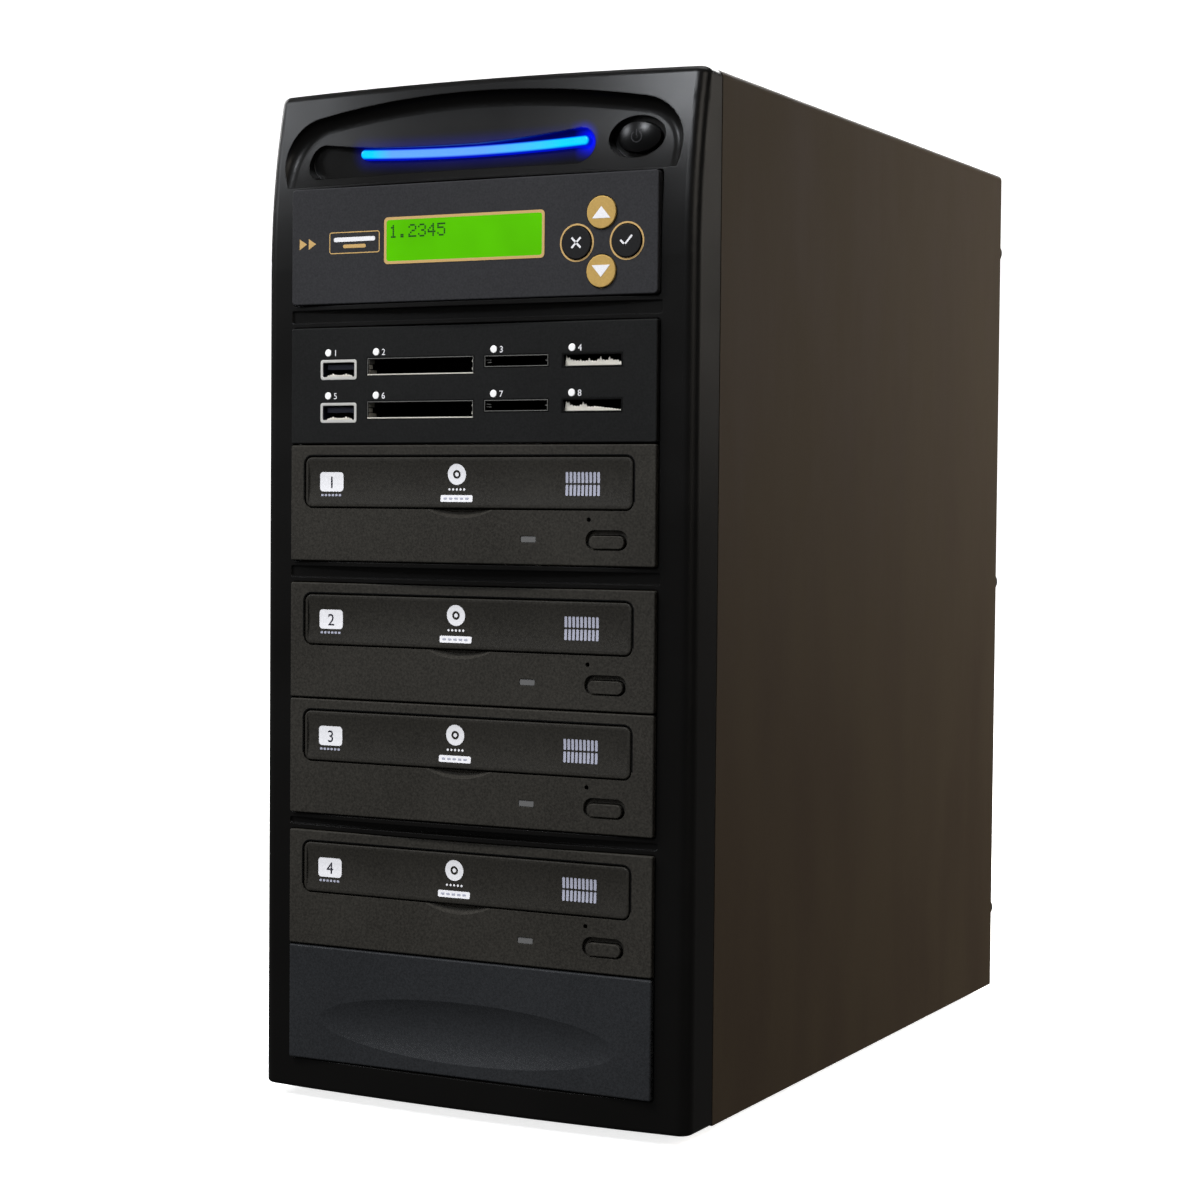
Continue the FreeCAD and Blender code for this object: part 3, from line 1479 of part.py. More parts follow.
def chassis_base():
    """Floor of the case with low folded sides."""
    sheet = chassis_sheet
    plate = box(-base_half, base_half, base_front, rear_inner, cover_sheet, base_top)
    walls = [box(low, low + sheet, base_front, rear_inner, cover_sheet, base_top + base_wall_height)
             for low in (-base_half, base_half - sheet)]
    holes = [rod_z(screw_shank_radius + fixed_gap, -overrun, overrun, x, y) for x, y in foot_places()]
    return cut(fuse([plate] + walls), *holes)


supply_z0 = base_top
supply_z1 = base_top + supply_height
supply_front = rear_inner - supply_depth
supply_fan_x = -supply_width / 2 + supply_fan_side + supply_fan_radius
supply_fan_z = supply_z0 + supply_height / 2
inlet_x = supply_width / 2 - inlet_from_side
inlet_z = supply_z0 + inlet_rise
rocker_z = supply_z0 + rocker_rise
fan_x = 0
fan_z = fan_rise_share * case_height


def supply_screws():
    x = supply_width / 2 - supply_screw_inset
    return [(side * x, z) for side in (-1, 1)
            for z in (supply_z0 + supply_screw_inset, supply_z1 - supply_screw_inset)]


def fan_screws():
    reach = fan_size / 2 - fan_hole_inset
    return [(fan_x + i * reach, fan_z + k * reach) for i in (-1, 1) for k in (-1, 1)]


def rear_panel():
    """Back of the case: window for the supply, vent for the fan, folded edges."""
    top = case_height - cover_sheet - cage_fit
    sheet = chassis_sheet
    plate = box(-base_half, base_half, rear_inner, rear_outer, base_top, top)
    corners = [edge for edge in edges_along(plate, Y_AXIS) if edge.BoundBox.ZMin > case_height / 2]
    plate = plate.makeFillet(cover_round, corners)
    inner = base_half - sheet - cage_fit
    folds = [box(low, low + sheet, rear_inner - rear_flange, rear_outer - sheet / 2,
                 base_top + cage_fit, top - cover_round) for low in (-inner, inner - sheet)]
    foot = box(-base_half, base_half, rear_inner, rear_outer, cover_sheet, base_top + sheet)
    land = supply_window_land
    window = round_box(-supply_width / 2 + 2 * land, supply_width / 2 - 2 * land, rear_inner - overrun,
                       rear_outer + overrun, supply_z0 + land, supply_z1 - land, 2 * land, Y_AXIS)
    corners = [rod_y(screw_head_radius + land / 2, rear_inner - overrun, rear_outer + overrun, x, z)
               for x, z in supply_screws()]
    window = window.cut(corners)
    vent = ring_vent(fan_x, fan_z, fan_duct_radius, rear_inner - overrun, rear_outer + overrun)
    holes = [rod_y(screw_shank_radius, rear_inner - overrun, rear_outer + overrun, x, z)
             for x, z in supply_screws() + fan_screws() + thumbscrew_places()]
    plate = fuse([plate, foot] + folds)
    return cut(plate, window, vent, *holes)


def drive_cage():
    """Two side plates with front flanges, and the frame across their tops."""
    inner = drive_width / 2 + cage_gap
    outer = inner + cage_sheet
    y0 = bezel_front_wall + moving_gap
    top = cage_top
    plate = box(inner, outer, y0, cage_depth, bezel_wall + moving_gap, top)
    flange = box(inner, min(outer + cage_flange, half_width - bezel_wall - moving_gap), y0,
                 y0 + cage_sheet, bezel_wall + moving_gap, top)
    plate = fuse([plate, flange])
    slots = [rod_x(screw_shank_radius + shaft_gap, inner - overrun, outer + overrun, y, z)
             for y, z in cage_screws()]
    windows = []
    for z in list(drive_floors.values()) + [z_blank, z_reader, z_control]:
        low = z + cage_screw_rise + screw_head_radius + cage_window_height / 4
        windows.append(round_box(inner - overrun, outer + overrun, y0 + cage_window_side,
                                 cage_depth - cage_window_side, low, low + cage_window_height,
                                 cage_window_height / 4, X_AXIS))
    foot_y0 = base_front + fixed_gap
    foot_low = box(inner, inner + cage_flange, foot_y0, cage_depth, base_top, base_top + cage_sheet)
    lower = box(inner, outer, foot_y0, cage_depth, base_top, base_top + 2 * cage_sheet)
    plate = cut(plate, *(slots + windows))
    side = fuse([plate, foot_low, lower])
    strip = box(-outer, outer, y0, cage_depth, top, top + cage_sheet)
    side_land = cage_window_side
    opening = round_box(-inner + side_land, inner - side_land, y0 + side_land, cage_depth - side_land,
                        top - overrun, top + overrun, side_land / 2, Z_AXIS)
    return [side, mirror_x(side), strip.cut(opening)]


def cage_screws():
    """Screws of the drives, the reader and the controller, on each side."""
    places = []
    for z in drive_floors.values():
        for y in cage_screw_rows():
            places.append((y, z + cage_screw_rise))
    for z in (z_blank, z_reader, z_control):
        places.append((cage_screw_rows()[0], z + cage_screw_rise))
    return places


def foot_places():
    x = half_width - foot_inset
    y0 = cover_front + foot_inset
    y1 = cover_back - foot_inset
    return [(i * x, y) for i in (-1, 1) for y in (y0, y1)]


def feet():
    pads = []
    for x, y in foot_places():
        pad = rod_z(foot_radius, -foot_height, cover_sheet, x, y)
        pad = pad.makeFillet(foot_round, edges_in_plane(pad, "z", -foot_height))
        pads.append(pad)
    return pads


def screws():
    group = []
    x = drive_width / 2 + cage_gap + cage_sheet
    grip = cage_sheet + cage_gap + min(bay_tray_sheet, shell_sheet)
    for y, z in cage_screws():
        group.append(screw_x(x, y, z, 1, grip))
        group.append(screw_x(-x, y, z, -1, grip))
    for x, z in supply_screws():
        group.append(screw_y(x, rear_outer, z, chassis_sheet + supply_sheet))
    for x, z in fan_screws():
        group.append(screw_y(x, rear_outer, z, fan_screw_grip))
    return group


# Power supply
def psu_case():
    """Sheet case with holes for the fan, the inlet, the rocker and the leads, and a grille."""
    half = supply_width / 2
    sheet = supply_sheet
    outer = box(-half, half, supply_front, rear_inner, supply_z0, supply_z1)
    inner = box(-half + sheet, half - sheet, supply_front + sheet, rear_inner - sheet,
                supply_z0 + sheet, supply_z1 - sheet)
    vent = ring_vent(supply_fan_x, supply_fan_z, supply_fan_radius, rear_inner - sheet - tolerance,
                     rear_inner + overrun)
    loom_z = supply_fan_z + loom_rise
    lead_hole = box(power_plug_offset - loom_hole_half, power_plug_offset + loom_hole_half,
                    supply_front - overrun, supply_front + overrun / 2,
                    loom_z - loom_hole_half, loom_z + loom_hole_half)
    grille = [box(-grille_half_width, grille_half_width, supply_front - overrun, supply_front + overrun / 2,
                  supply_z0 + row * grille_pitch, supply_z0 + row * grille_pitch + grille_slot)
              for row in range(1, grille_rows + 1)]
    wall_y = (rear_inner - overrun / 2, rear_inner + overrun)
    cut_x = inlet_width / 2 + inlet_wall
    cut_z = inlet_height / 2 + inlet_wall
    inlet = box(inlet_x - cut_x, inlet_x + cut_x, *wall_y, inlet_z - cut_z, inlet_z + cut_z)
    rocker_x = rocker_width / 2 + rocker_gap + rocker_frame_wall
    rocker_rise_half = rocker_height / 2 + rocker_gap + rocker_frame_wall
    rocker = box(inlet_x - rocker_x, inlet_x + rocker_x, *wall_y,
                 rocker_z - rocker_rise_half, rocker_z + rocker_rise_half)
    holes = [rod_y(screw_shank_radius, rear_inner - overrun, rear_inner + overrun, x, z)
             for x, z in supply_screws()]
    return cut(outer, inner, vent, lead_hole, inlet, rocker, *holes, *grille)


def psu_internals():
    """Fan frame, board on its legs, transformer and heat sinks."""
    half = supply_width / 2
    sheet = supply_sheet
    fan_y1 = rear_inner - sheet
    side = 2 * (supply_fan_radius + fan_hub_wall)
    frame = fan_frame(supply_fan_x, supply_fan_z, side, fan_y1 - supply_fan_depth, fan_y1, supply_fan_radius)
    board_z = supply_z0 + sheet + 2 * board_thickness
    board = box(-half + 2 * sheet, half - 2 * sheet, supply_front + 2 * sheet,
                fan_y1 - supply_fan_depth - 2 * sheet, board_z, board_z + board_thickness)
    legs = [rod_z(standoff_radius, supply_z0 + sheet, board_z, x, y)
            for x in (-half + transformer_size / 2, half - transformer_size / 2)
            for y in (supply_front + transformer_size / 2, supply_front + 2 * transformer_size)]
    top = board_z + board_thickness
    middle = supply_front + supply_depth / 2 - supply_fan_depth / 2
    core = box(-transformer_size / 2, transformer_size / 2, middle - transformer_size / 2,
               middle + transformer_size / 2, top, top + transformer_size)
    sinks = [box(x - heatsink_thickness / 2, x + heatsink_thickness / 2, middle - transformer_size,
                 middle + transformer_size / 2, top, top + heatsink_height)
             for x in (-1.2 * transformer_size, 1.2 * transformer_size)]
    return [frame, board, core] + legs + sinks


def psu_fan_rotor():
    y1 = rear_inner - supply_sheet
    y0 = y1 - supply_fan_depth + fan_wall_gap
    depth = supply_fan_depth - fan_wall_gap - fan_post_length - fan_wall_gap
    return fan_rotor(supply_fan_x, supply_fan_z, y0, depth, supply_fan_radius,
                     y1 - fan_hub_wall / 2 - moving_gap)


def psu_inlet():
    """Mains inlet with three blades, and the frame of the rocker switch."""
    y1 = rear_inner + inlet_flange_thickness
    half_x = inlet_width / 2
    half_z = inlet_height / 2
    wall = inlet_wall
    body = box(inlet_x - half_x - wall, inlet_x + half_x + wall, y1 - inlet_depth - inlet_floor, y1,
               inlet_z - half_z - wall, inlet_z + half_z + wall)
    flange_x = half_x + wall + inlet_flange
    flange_z = half_z + wall + inlet_flange
    flange = round_box(inlet_x - flange_x, inlet_x + flange_x, rear_inner, y1,
                       inlet_z - flange_z, inlet_z + flange_z, inlet_flange, Y_AXIS)
    space = box(inlet_x - half_x, inlet_x + half_x, y1 - inlet_depth, y1 + overrun,
                inlet_z - half_z, inlet_z + half_z)
    corners = [edge for edge in edges_along(space, Y_AXIS) if edge.BoundBox.ZMin > inlet_z]
    space = space.makeChamfer(inlet_corner_cut, corners)
    body = fuse([body, flange]).cut(space)
    blades = []
    places = ((-blade_spread, -blade_climb), (blade_spread, -blade_climb), (0, blade_climb))
    for x, z in places:
        blades.append(box(inlet_x + x - blade_width / 2, inlet_x + x + blade_width / 2,
                          y1 - inlet_depth - inlet_floor / 2, y1 - blade_setback,
                          inlet_z + z - blade_height / 2, inlet_z + z + blade_height / 2))
    inlet = fuse([body] + blades)
    open_x = rocker_width / 2 + moving_gap
    open_z = rocker_height / 2 + rocker_gap
    wall = rocker_frame_wall
    outer_x = rocker_width / 2 + rocker_gap + wall
    frame = box(inlet_x - outer_x, inlet_x + outer_x, y1 - inlet_depth, y1,
                rocker_z - open_z - wall, rocker_z + open_z + wall)
    lip_x = outer_x + inlet_flange
    lip = round_box(inlet_x - lip_x, inlet_x + lip_x, rear_inner, y1, rocker_z - open_z - wall - inlet_flange,
                    rocker_z + open_z + wall + inlet_flange, inlet_flange, Y_AXIS)
    well = box(inlet_x - open_x, inlet_x + open_x, y1 - inlet_depth + inlet_floor, y1 + overrun,
               rocker_z - open_z, rocker_z + open_z)
    bore = rod_x(rocker_pin_radius + shaft_gap, inlet_x - open_x - rocker_pin_length,
                 inlet_x + open_x + rocker_pin_length, rocker_pivot_y(), rocker_z)
    frame = cut(fuse([frame, lip]), well, bore)
    return [inlet, frame]


def rocker_pivot_y():
    return rear_inner + inlet_flange_thickness - rocker_body / 2


def psu_rocker():
    """Paddle with a shallow V face, resting tilted to one side on its pins."""
    pivot = rocker_pivot_y()
    x0 = inlet_x - rocker_width / 2
    half = rocker_height / 2
    face = rear_inner + inlet_flange_thickness
    points = [
        Vector(x0, pivot - rocker_body / 2, rocker_z - half / 2),
        Vector(x0, face, rocker_z - half),
        Vector(x0, face + rocker_proud, rocker_z - half),
        Vector(x0, face + rocker_dip, rocker_z),
        Vector(x0, face + rocker_proud, rocker_z + half),
        Vector(x0, face, rocker_z + half),
        Vector(x0, pivot - rocker_body / 2, rocker_z + half / 2),
    ]
    paddle = polygon_prism(points, Vector(rocker_width, 0, 0))
    pins = rod_x(rocker_pin_radius, x0 - rocker_pin_length, x0 + rocker_width + rocker_pin_length,
                 pivot, rocker_z)
    paddle = fuse([paddle, pins])
    paddle.rotate(Vector(0, pivot, rocker_z), X_AXIS, rocker_tilt)
    return paddle


def rear_fan_frame():
    return fan_frame(fan_x, fan_z, fan_size, rear_inner - fan_depth, rear_inner, fan_duct_radius)


def rear_fan_rotor():
    y0 = rear_inner - fan_depth + fan_wall_gap
    depth = fan_depth - fan_wall_gap - fan_post_length - fan_wall_gap
    return fan_rotor(fan_x, fan_z, y0, depth, fan_duct_radius, rear_inner - fan_hub_wall / 2 - moving_gap)


def wiring():
    """Data lead of each drive, and the power loom from the supply."""
    plug_face = shell_y1 + plug_proud
    plug_level = shell_inner_floor + board_gap + board_thickness + plug_height / 2
    cap_end = plug_face + lead_plug_length
    board_top = z_control + (panel_height - bay_ear_height) / 2 + bay_tray_sheet + 3 * board_thickness
    far_z = board_top + lead_plug_height / 2
    far_y = panel_thickness + controller_depth - board_gap - plug_in_board
    trunk_y = cap_end + power_trunk_back
    solids = []
    branches = []
    for index, floor in enumerate(drive_floors.values()):
        z = floor + plug_level
        for x in (data_plug_offset, power_plug_offset):
            solids.append(box(x - lead_plug_width / 2, x + lead_plug_width / 2, plug_face, cap_end,
                              z - lead_plug_height / 2, z + lead_plug_height / 2))
        back = cap_end + data_lead_first + index * data_lead_step
        far_x = lead_ends()[index]
        path = [Vector(data_plug_offset, cap_end, z), Vector(data_plug_offset, back, z),
                Vector(far_x, back, far_z), Vector(far_x, far_y, far_z)]
        solids.append(lead(path, data_lead_radius))
        branches.append(rod_y(power_branch_radius, cap_end, trunk_y, power_plug_offset, z))
    loom_z = supply_fan_z + loom_rise
    bottom = min(loom_z, drive_floors[4] + plug_level)
    trunk = rod_z(power_trunk_radius, bottom, drive_floors[1] + plug_level, power_plug_offset, trunk_y)
    feed_end = max(supply_front + supply_sheet, trunk_y + supply_sheet)
    feed = rod_y(power_trunk_radius, trunk_y, feed_end, power_plug_offset, loom_z)
    solids.append(fuse([trunk, feed] + branches))
    return solids


def main():
    os.makedirs("parts", exist_ok=True)
    build_drives()
    save("front_bezel", front_bezel())
    save("light_bar", light_bar())
    save("power_button", power_button())
    save("control_panel", control_panel())
    for name, (x, z) in key_places.items():
        save(name, key_cap(x, z))
    save("lcd_module", *lcd_module())
    save("front_boards", *controller_board(), *front_switch_board())
    save("card_reader_face", card_reader_face())
    save("card_reader_body", *card_reader_body())
    save("card_slots", *card_slots())
    save("usb_sockets", *usb_sockets())
    save("indicator_lamps", *indicator_lamps())
    save("blank_bay_cover", blank_cover())
    save("outer_cover", outer_cover())
    save("cover_thumbscrews", *thumbscrews())
    save("chassis_base", chassis_base())
    save("chassis_rear_panel", rear_panel())
    save("drive_cage", *drive_cage())
    save("feet", *feet())
    save("screws", *screws())
    save("psu_case", psu_case())
    save("psu_internals", *psu_internals())
    save("psu_fan_rotor", psu_fan_rotor())
    save("psu_inlet", *psu_inlet())
    save("psu_rocker", psu_rocker())
    save("rear_fan_frame", rear_fan_frame())
    save("rear_fan_rotor", rear_fan_rotor())
    save("wiring", *wiring())


main()
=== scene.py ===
import json
import math

import bmesh
import bpy
from mathutils import Matrix, Vector
from mathutils.bvhtree import BVHTree


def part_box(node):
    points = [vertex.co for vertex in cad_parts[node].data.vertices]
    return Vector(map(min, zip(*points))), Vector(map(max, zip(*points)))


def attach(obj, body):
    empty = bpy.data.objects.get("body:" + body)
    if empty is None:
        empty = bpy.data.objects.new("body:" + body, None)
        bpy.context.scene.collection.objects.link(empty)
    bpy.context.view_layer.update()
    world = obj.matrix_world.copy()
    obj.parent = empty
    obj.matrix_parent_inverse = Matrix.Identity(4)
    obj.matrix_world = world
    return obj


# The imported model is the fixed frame. Lengths are metres in that frame; the front faces -Y.
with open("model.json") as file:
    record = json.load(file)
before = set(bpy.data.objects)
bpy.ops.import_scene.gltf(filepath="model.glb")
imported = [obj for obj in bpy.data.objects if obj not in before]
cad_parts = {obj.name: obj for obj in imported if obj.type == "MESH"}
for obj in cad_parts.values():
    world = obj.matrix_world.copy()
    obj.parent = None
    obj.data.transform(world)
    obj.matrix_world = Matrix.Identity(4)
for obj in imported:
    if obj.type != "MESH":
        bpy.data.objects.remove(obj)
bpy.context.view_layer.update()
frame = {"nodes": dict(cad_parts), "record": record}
MM = 0.001
DRIVES = (1, 2, 3, 4)

# Camera, at the photograph's viewing angle
CAMERA_PLACE = (0.44859, -0.93782, 0.21870)
CAMERA_AZIMUTH = 27.101
CAMERA_DOWN = 2.111
CAMERA_ROLL = 0.501
CAMERA_LENS = 76.03
CAMERA_NEAR = 0.01
CAMERA_FAR = 50
SENSOR_WIDTH = 36.0

# Stage: how far it lies under the feet, its flat part, its curve, its top and its own light
STAGE_DROP = 0.1 * MM
STAGE_FLAT = 2.4
STAGE_CURVE = 1.6
STAGE_TOP = 3.2
STAGE_STEPS = 14
STAGE_TURNS = 96
STAGE_GLOW = 0.78

# Tints of the lights
WHITE = (1.0, 1.0, 1.0)
WARM = (1.0, 0.93, 0.84)
COOL = (0.92, 0.95, 1.0)

# Where the lights aim: the middle of the tower, and the front's top at its right and its left
MIDDLE = (0, 0, 0.18)
TOP_RIGHT = (0.05, -0.16, 0.36)
TOP_LEFT = (-0.05, -0.16, 0.36)

# Area lights: name, place, aim, width, height, watts, tint, seen in reflections
LIGHTS = (
    ("key_left", (-1.5, -1.6, 3.2), MIDDLE, 1.0, 1.0, 195, WHITE, False),
    ("front_low", (-0.9, -2.4, 0.7), MIDDLE, 0.8, 0.5, 13, WHITE, False),
    ("sheen_right", (-0.09, -1.49, 1.23), TOP_RIGHT, 0.35, 0.3, 8.5, COOL, True),
    ("sheen_left", (-1.33, -0.90, 0.96), TOP_LEFT, 0.4, 0.4, 4.5, COOL, True),
    ("right_fill", (1.9, -0.9, 1.0), MIDDLE, 0.9, 0.9, 5, WARM, True),
    ("right_back", (0.6, 0.75, 0.4), MIDDLE, 0.5, 0.5, 17, WARM, False),
    ("side_sheen", (0.85, 0.95, 0.6), MIDDLE, 0.6, 0.6, 0.9, WARM, True),
    ("left_fill", (-1.9, 0.6, 1.2), MIDDLE, 0.9, 0.9, 12, WHITE, True),
    ("back_fill", (-0.4, 2.2, 1.4), MIDDLE, 0.9, 0.9, 22, WHITE, True),
    ("top_fill", (0.1, 0.3, 2.2), MIDDLE, 1.4, 1.4, 10, WHITE, True),
)
AMBIENT = 0.05

# Meshes: points that are one, the shortest edge kept in a sliced print, a ray's start
SAME_POINT = 0.001 * MM
SHORT_EDGE = 0.005 * MM
RAY_GAP = 10 * MM
BLOCK_EDGE = 0.05 * MM
FINE_EDGE = 0.02 * MM

# Printing and labels. A digit is DIGIT_SHARE of its font's size.
INK = 0.06 * MM
PRINT_SINK = 0.02 * MM
DIGIT_SHARE = 0.73

# Control panel, measured from its left edge and its middle height
WINDOW_LEFT = 39.4 * MM
WINDOW_WIDTH = 65.0 * MM
WINDOW_HEIGHT = 16.6 * MM
WINDOW_RISE = 1.0 * MM
WINDOW_LINE = 1.0 * MM
WINDOW_CORNER = 1.5 * MM
DOT_PITCH = 0.66 * MM
DOT_SIZE = 0.58 * MM
DIGIT_COLUMNS = 6
TEXT_LEFT = 2.2 * MM
TEXT_DROP = 2.8 * MM
BADGE_LEFT = 16.2 * MM
BADGE_WIDTH = 21.3 * MM
BADGE_HEIGHT = 7.8 * MM
BADGE_LINE = 0.35 * MM
BADGE_CORNER = 1.0 * MM
SIGN_LEFT = 3.4 * MM
KEY_RING_INNER = 5.95 * MM
KEY_RING_OUTER = 6.55 * MM
ARROW_HALF = 3.5 * MM
ARROW_RISE = 2.05 * MM
KEY_ARM = 1.5 * MM
KEY_LINE = 0.7 * MM

# Power button: a ring from and to these degrees, and a stroke between these shares of its radius
SYMBOL_RADIUS = 1.9 * MM
SYMBOL_LINE = 0.35 * MM
SYMBOL_ARC = (125, 415)
SYMBOL_STROKE = (0.3, 1.2)

# Light bar: its flange, half height and the bow of its middle line. Its colour turns to the
# edge's between BAR_EDGE from that line, and BAR_STOPS are shares of its length. The light that
# it spills fades out over SPILL_REACH, and grows from SPILL_REST over SPILL_END at its right end.
BAR_FLANGE = 3.0 * MM
BAR_HALF_HEIGHT = 1.9 * MM
BAR_BOW = 1.2 * MM
BAR_EDGE = (0.55 * BAR_HALF_HEIGHT, 0.9 * BAR_HALF_HEIGHT)
BAR_STOPS = (0.04, 0.13, 0.55, 0.90)
SPILL_REACH = (2.5 * MM, 7.5 * MM)
SPILL_END = (-5 * MM, 1.0 * MM)
SPILL_REST = 0.10

# Card reader: left edge of each kind of socket from the face's left edge, its width and its height
USB = (12.65 * MM, 15.4 * MM, 7.2 * MM)
LARGE = (32.95 * MM, 43.2 * MM, 5.4 * MM)
FLAT = (81.25 * MM, 24.7 * MM, 3.4 * MM)
STICK = (112.15 * MM, 22.3 * MM, 3.8 * MM)
ROWS = (0, 1)
ROW_DROPS = (11.6 * MM, 27.1 * MM)
USB_WALL = 1.0 * MM
USB_INSET = 2.2 * MM
# How far the painted shade inside the small sockets reaches into their walls
USB_SKIN = 0.1 * MM
USB_LIP = 0.15 * MM
LAMP_IN = 3.3 * MM
LAMP_UP = 2.5 * MM
NUMBER_IN = 2.3 * MM
NUMBER_HEIGHT = 2.3 * MM

# Rims and contacts of the card slots. Depths are from the reader's front.
RIM_SIDE = 0.28 * MM
RIM_FOOT = 0.45 * MM
RIM_GAP = 0.01 * MM
RIM_PROUD = 0.12 * MM
RIM_SUNK = 0.05 * MM
TAB = 0.12 * MM
GUIDE_FRONT = 0.5 * MM
GUIDE_DEPTHS = (5.6 * MM, 3.0 * MM, 4.2 * MM)
STOP_DEPTH = (0.6 * MM, 0.8 * MM)
STOP_WIDTH = 5 * TAB
LEAF_DEPTH = (0.8 * MM, 1.0 * MM)
LEAF_WIDTH = 2.0 * MM
LEAF_THICK = 0.25 * MM
LEAF_HEIGHTS = (-0.5 * MM, 0.4 * MM)
NUB_WIDTH = 1.2 * MM
NUB_HALF = 0.2 * MM
COMB_THICK = 0.15 * MM
COMB_VALLEY = 0.82
STICK_DEPTH = 1.2 * MM
STICK_INSET = 0.1 * MM
STICK_RISE = 0.05 * MM
TABS_DEPTH = 0.9 * MM

# Heights of the contacts' teeth, as shares of their room, from left to right
STICK_TEETH = (
    (0.95, 0.80, 0.62, 0.55, 0.50, 0.60, 0.45, 0.50, 0.72, 0.48,
     0.45, 0.60, 0.85, 0.55, 0.50, 0.80, 0.60, 0.50, 0.52, 0.35),
    (0.95, 0.85, 0.60, 0.50, 0.48, 0.62, 0.85, 0.66, 0.42, 0.40,
     0.46, 0.42, 0.40, 0.34, 0.30, 0.28, 0.24, 0.20, 0.16, 0.12),
)
USB_TABS = (0.30, 0.42, 0.62, 0.42, 0.36, 0.36, 0.42, 0.62, 0.42, 0.30)

# Marks on the trays, from the face's left edge and from the top of the tray's front: x, drop,
# then width and height, or radius
SQUARE_MARK = (12.4 * MM, 5.4 * MM, 10.0 * MM, 7.0 * MM)
RING_MARK = (69.8 * MM, 6.1 * MM, 3.7 * MM)
BAR_MARK = (63.3 * MM, 13.4 * MM, 13.0 * MM, 2.4 * MM)
BLOCK_MARK = (113.2 * MM, 5.2 * MM, 13.8 * MM, 8.2 * MM)
MARK_PITCH = 0.6 * MM
SQUARE_CORNER = 1.3 * MM
BAR_CORNER = 0.5 * MM
SMALL_CORNER = 0.2 * MM

# Row of ticks under the square: how many, first one's inset, pitch, width, top and bottom
TICKS, TICK_IN, TICK_PITCH, TICK_WIDTH = 6, 0.6 * MM, 1.5 * MM, 1.0 * MM
TICK_TOP, TICK_BOTTOM = -0.9 * MM, -1.7 * MM

# Number in the square: inset, rise and height
TRAY_NUMBER = (3.5 * MM, 1.3 * MM, 4.4 * MM)

# Ring: shares of its radius for its hole and its middle, and the dots under it
RING_HOLE, RING_MIDDLE = 0.42, 0.2
DOT_STEP, DOT_DROP, DOT_RADIUS = 1.5 * MM, 1.6 * MM, 0.42 * MM

# Dashes on the bar: how many, first one's inset, pitch, width and half height
DASHES, DASH_IN, DASH_PITCH, DASH_WIDTH, DASH_HALF = 5, 1.2 * MM, 2.2 * MM, 1.4 * MM, 0.35 * MM

# Block of bars: columns, a bar's share of its column, gap between the two rows
BLOCK_COLUMNS, BLOCK_FILL, BLOCK_GAP = 9, 0.66, 0.3 * MM

# Painted shade at a drive's mouth, where its edge is in shadow, from the tray front: nearest and
# farthest, and its thickness
TRAY_SHADE_REACH = (0.52 * MM, 0.95 * MM)
TRAY_SHADE_INK = 0.02 * MM
TRAY_CORNER = 2.6 * MM

# Back: painted shade of cross recesses in screws with heads narrower than SCREW_WIDEST, and the
# rocker's marks
SCREW_WIDEST = 12 * MM
CROSS_REACH = 0.27
CROSS_LINE = 0.45 * MM
CROSS_SUNK = 0.3 * MM
CROSS_PROUD = 0.02 * MM
ROCKER_MARK = 1.6 * MM
MARK_LINE = 0.45 * MM


# Geometry helpers
def middle_of(node):
    """Middle of a CAD node's box, across and up."""
    low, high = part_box(node)
    return (low.x + high.x) / 2, (low.z + high.z) / 2


def piece_from(name, mesh, look, body):
    """Turns a bmesh into a piece with a finish, riding a body."""
    data = bpy.data.meshes.new(name)
    bmesh.ops.recalc_face_normals(mesh, faces=mesh.faces[:])
    mesh.to_mesh(data)
    mesh.free()
    piece = bpy.data.objects.new(name, data)
    bpy.context.scene.collection.objects.link(piece)
    data.materials.append(look.material)
    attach(piece, body)
    return piece


def circle(x, z, radius, steps):
    turns = [2 * math.pi * i / steps for i in range(steps)]
    return [(x + radius * math.cos(a), z + radius * math.sin(a)) for a in turns]


def rounded(x0, x1, z0, z1, radius, steps=6):
    """Outline of a rectangle with round corners."""
    points = []
    corners = ((x1 - radius, z1 - radius, 0), (x0 + radius, z1 - radius, 90),
               (x0 + radius, z0 + radius, 180), (x1 - radius, z0 + radius, 270))
    for x, z, start in corners:
        for i in range(steps + 1):
            angle = math.radians(start + 90 * i / steps)
            points.append((x + radius * math.cos(angle), z + radius * math.sin(angle)))
    return points


def arc_band(x, z, radius, line, start, end, steps=36):
    """Outline of a band that follows an arc, in degrees from +X towards +Z."""
    turns = [math.radians(start + (end - start) * i / steps) for i in range(steps + 1)]
    outer, inner = [[(x + r * math.cos(a), z + r * math.sin(a)) for a in turns]
                    for r in (radius + line / 2, radius - line / 2)]
    return outer + inner[::-1]


def stroke(x0, z0, x1, z1, line):
    """Outline of a straight stroke between two points."""
    along = Vector((x1 - x0, z1 - z0)).normalized() * line / 2
    side = Vector((-along.y, along.x))
    return [(x0 - along.x + side.x, z0 - along.y + side.y),
            (x0 - along.x - side.x, z0 - along.y - side.y),
            (x1 + along.x - side.x, z1 + along.y - side.y),
            (x1 + along.x + side.x, z1 + along.y + side.y)]


def fill(mesh, loops, y):
    """Flat faces at y inside closed loops of (x, z), with loops inside loops as holes."""
    edges = []
    for loop in loops:
        corners = [mesh.verts.new((x, y, z)) for x, z in loop]
        edges += [mesh.edges.new(pair) for pair in zip(corners, corners[1:] + corners[:1])]
    bmesh.ops.triangle_fill(mesh, use_beauty=True, edges=edges)


def thicken(mesh, depth):
    """Grows flat faces into closed plates, by depth towards -Y."""
    grown = bmesh.ops.extrude_face_region(mesh, geom=mesh.faces[:])
    moved = [v for v in grown["geom"] if isinstance(v, bmesh.types.BMVert)]
    bmesh.ops.translate(mesh, vec=(0, -depth, 0), verts=moved)


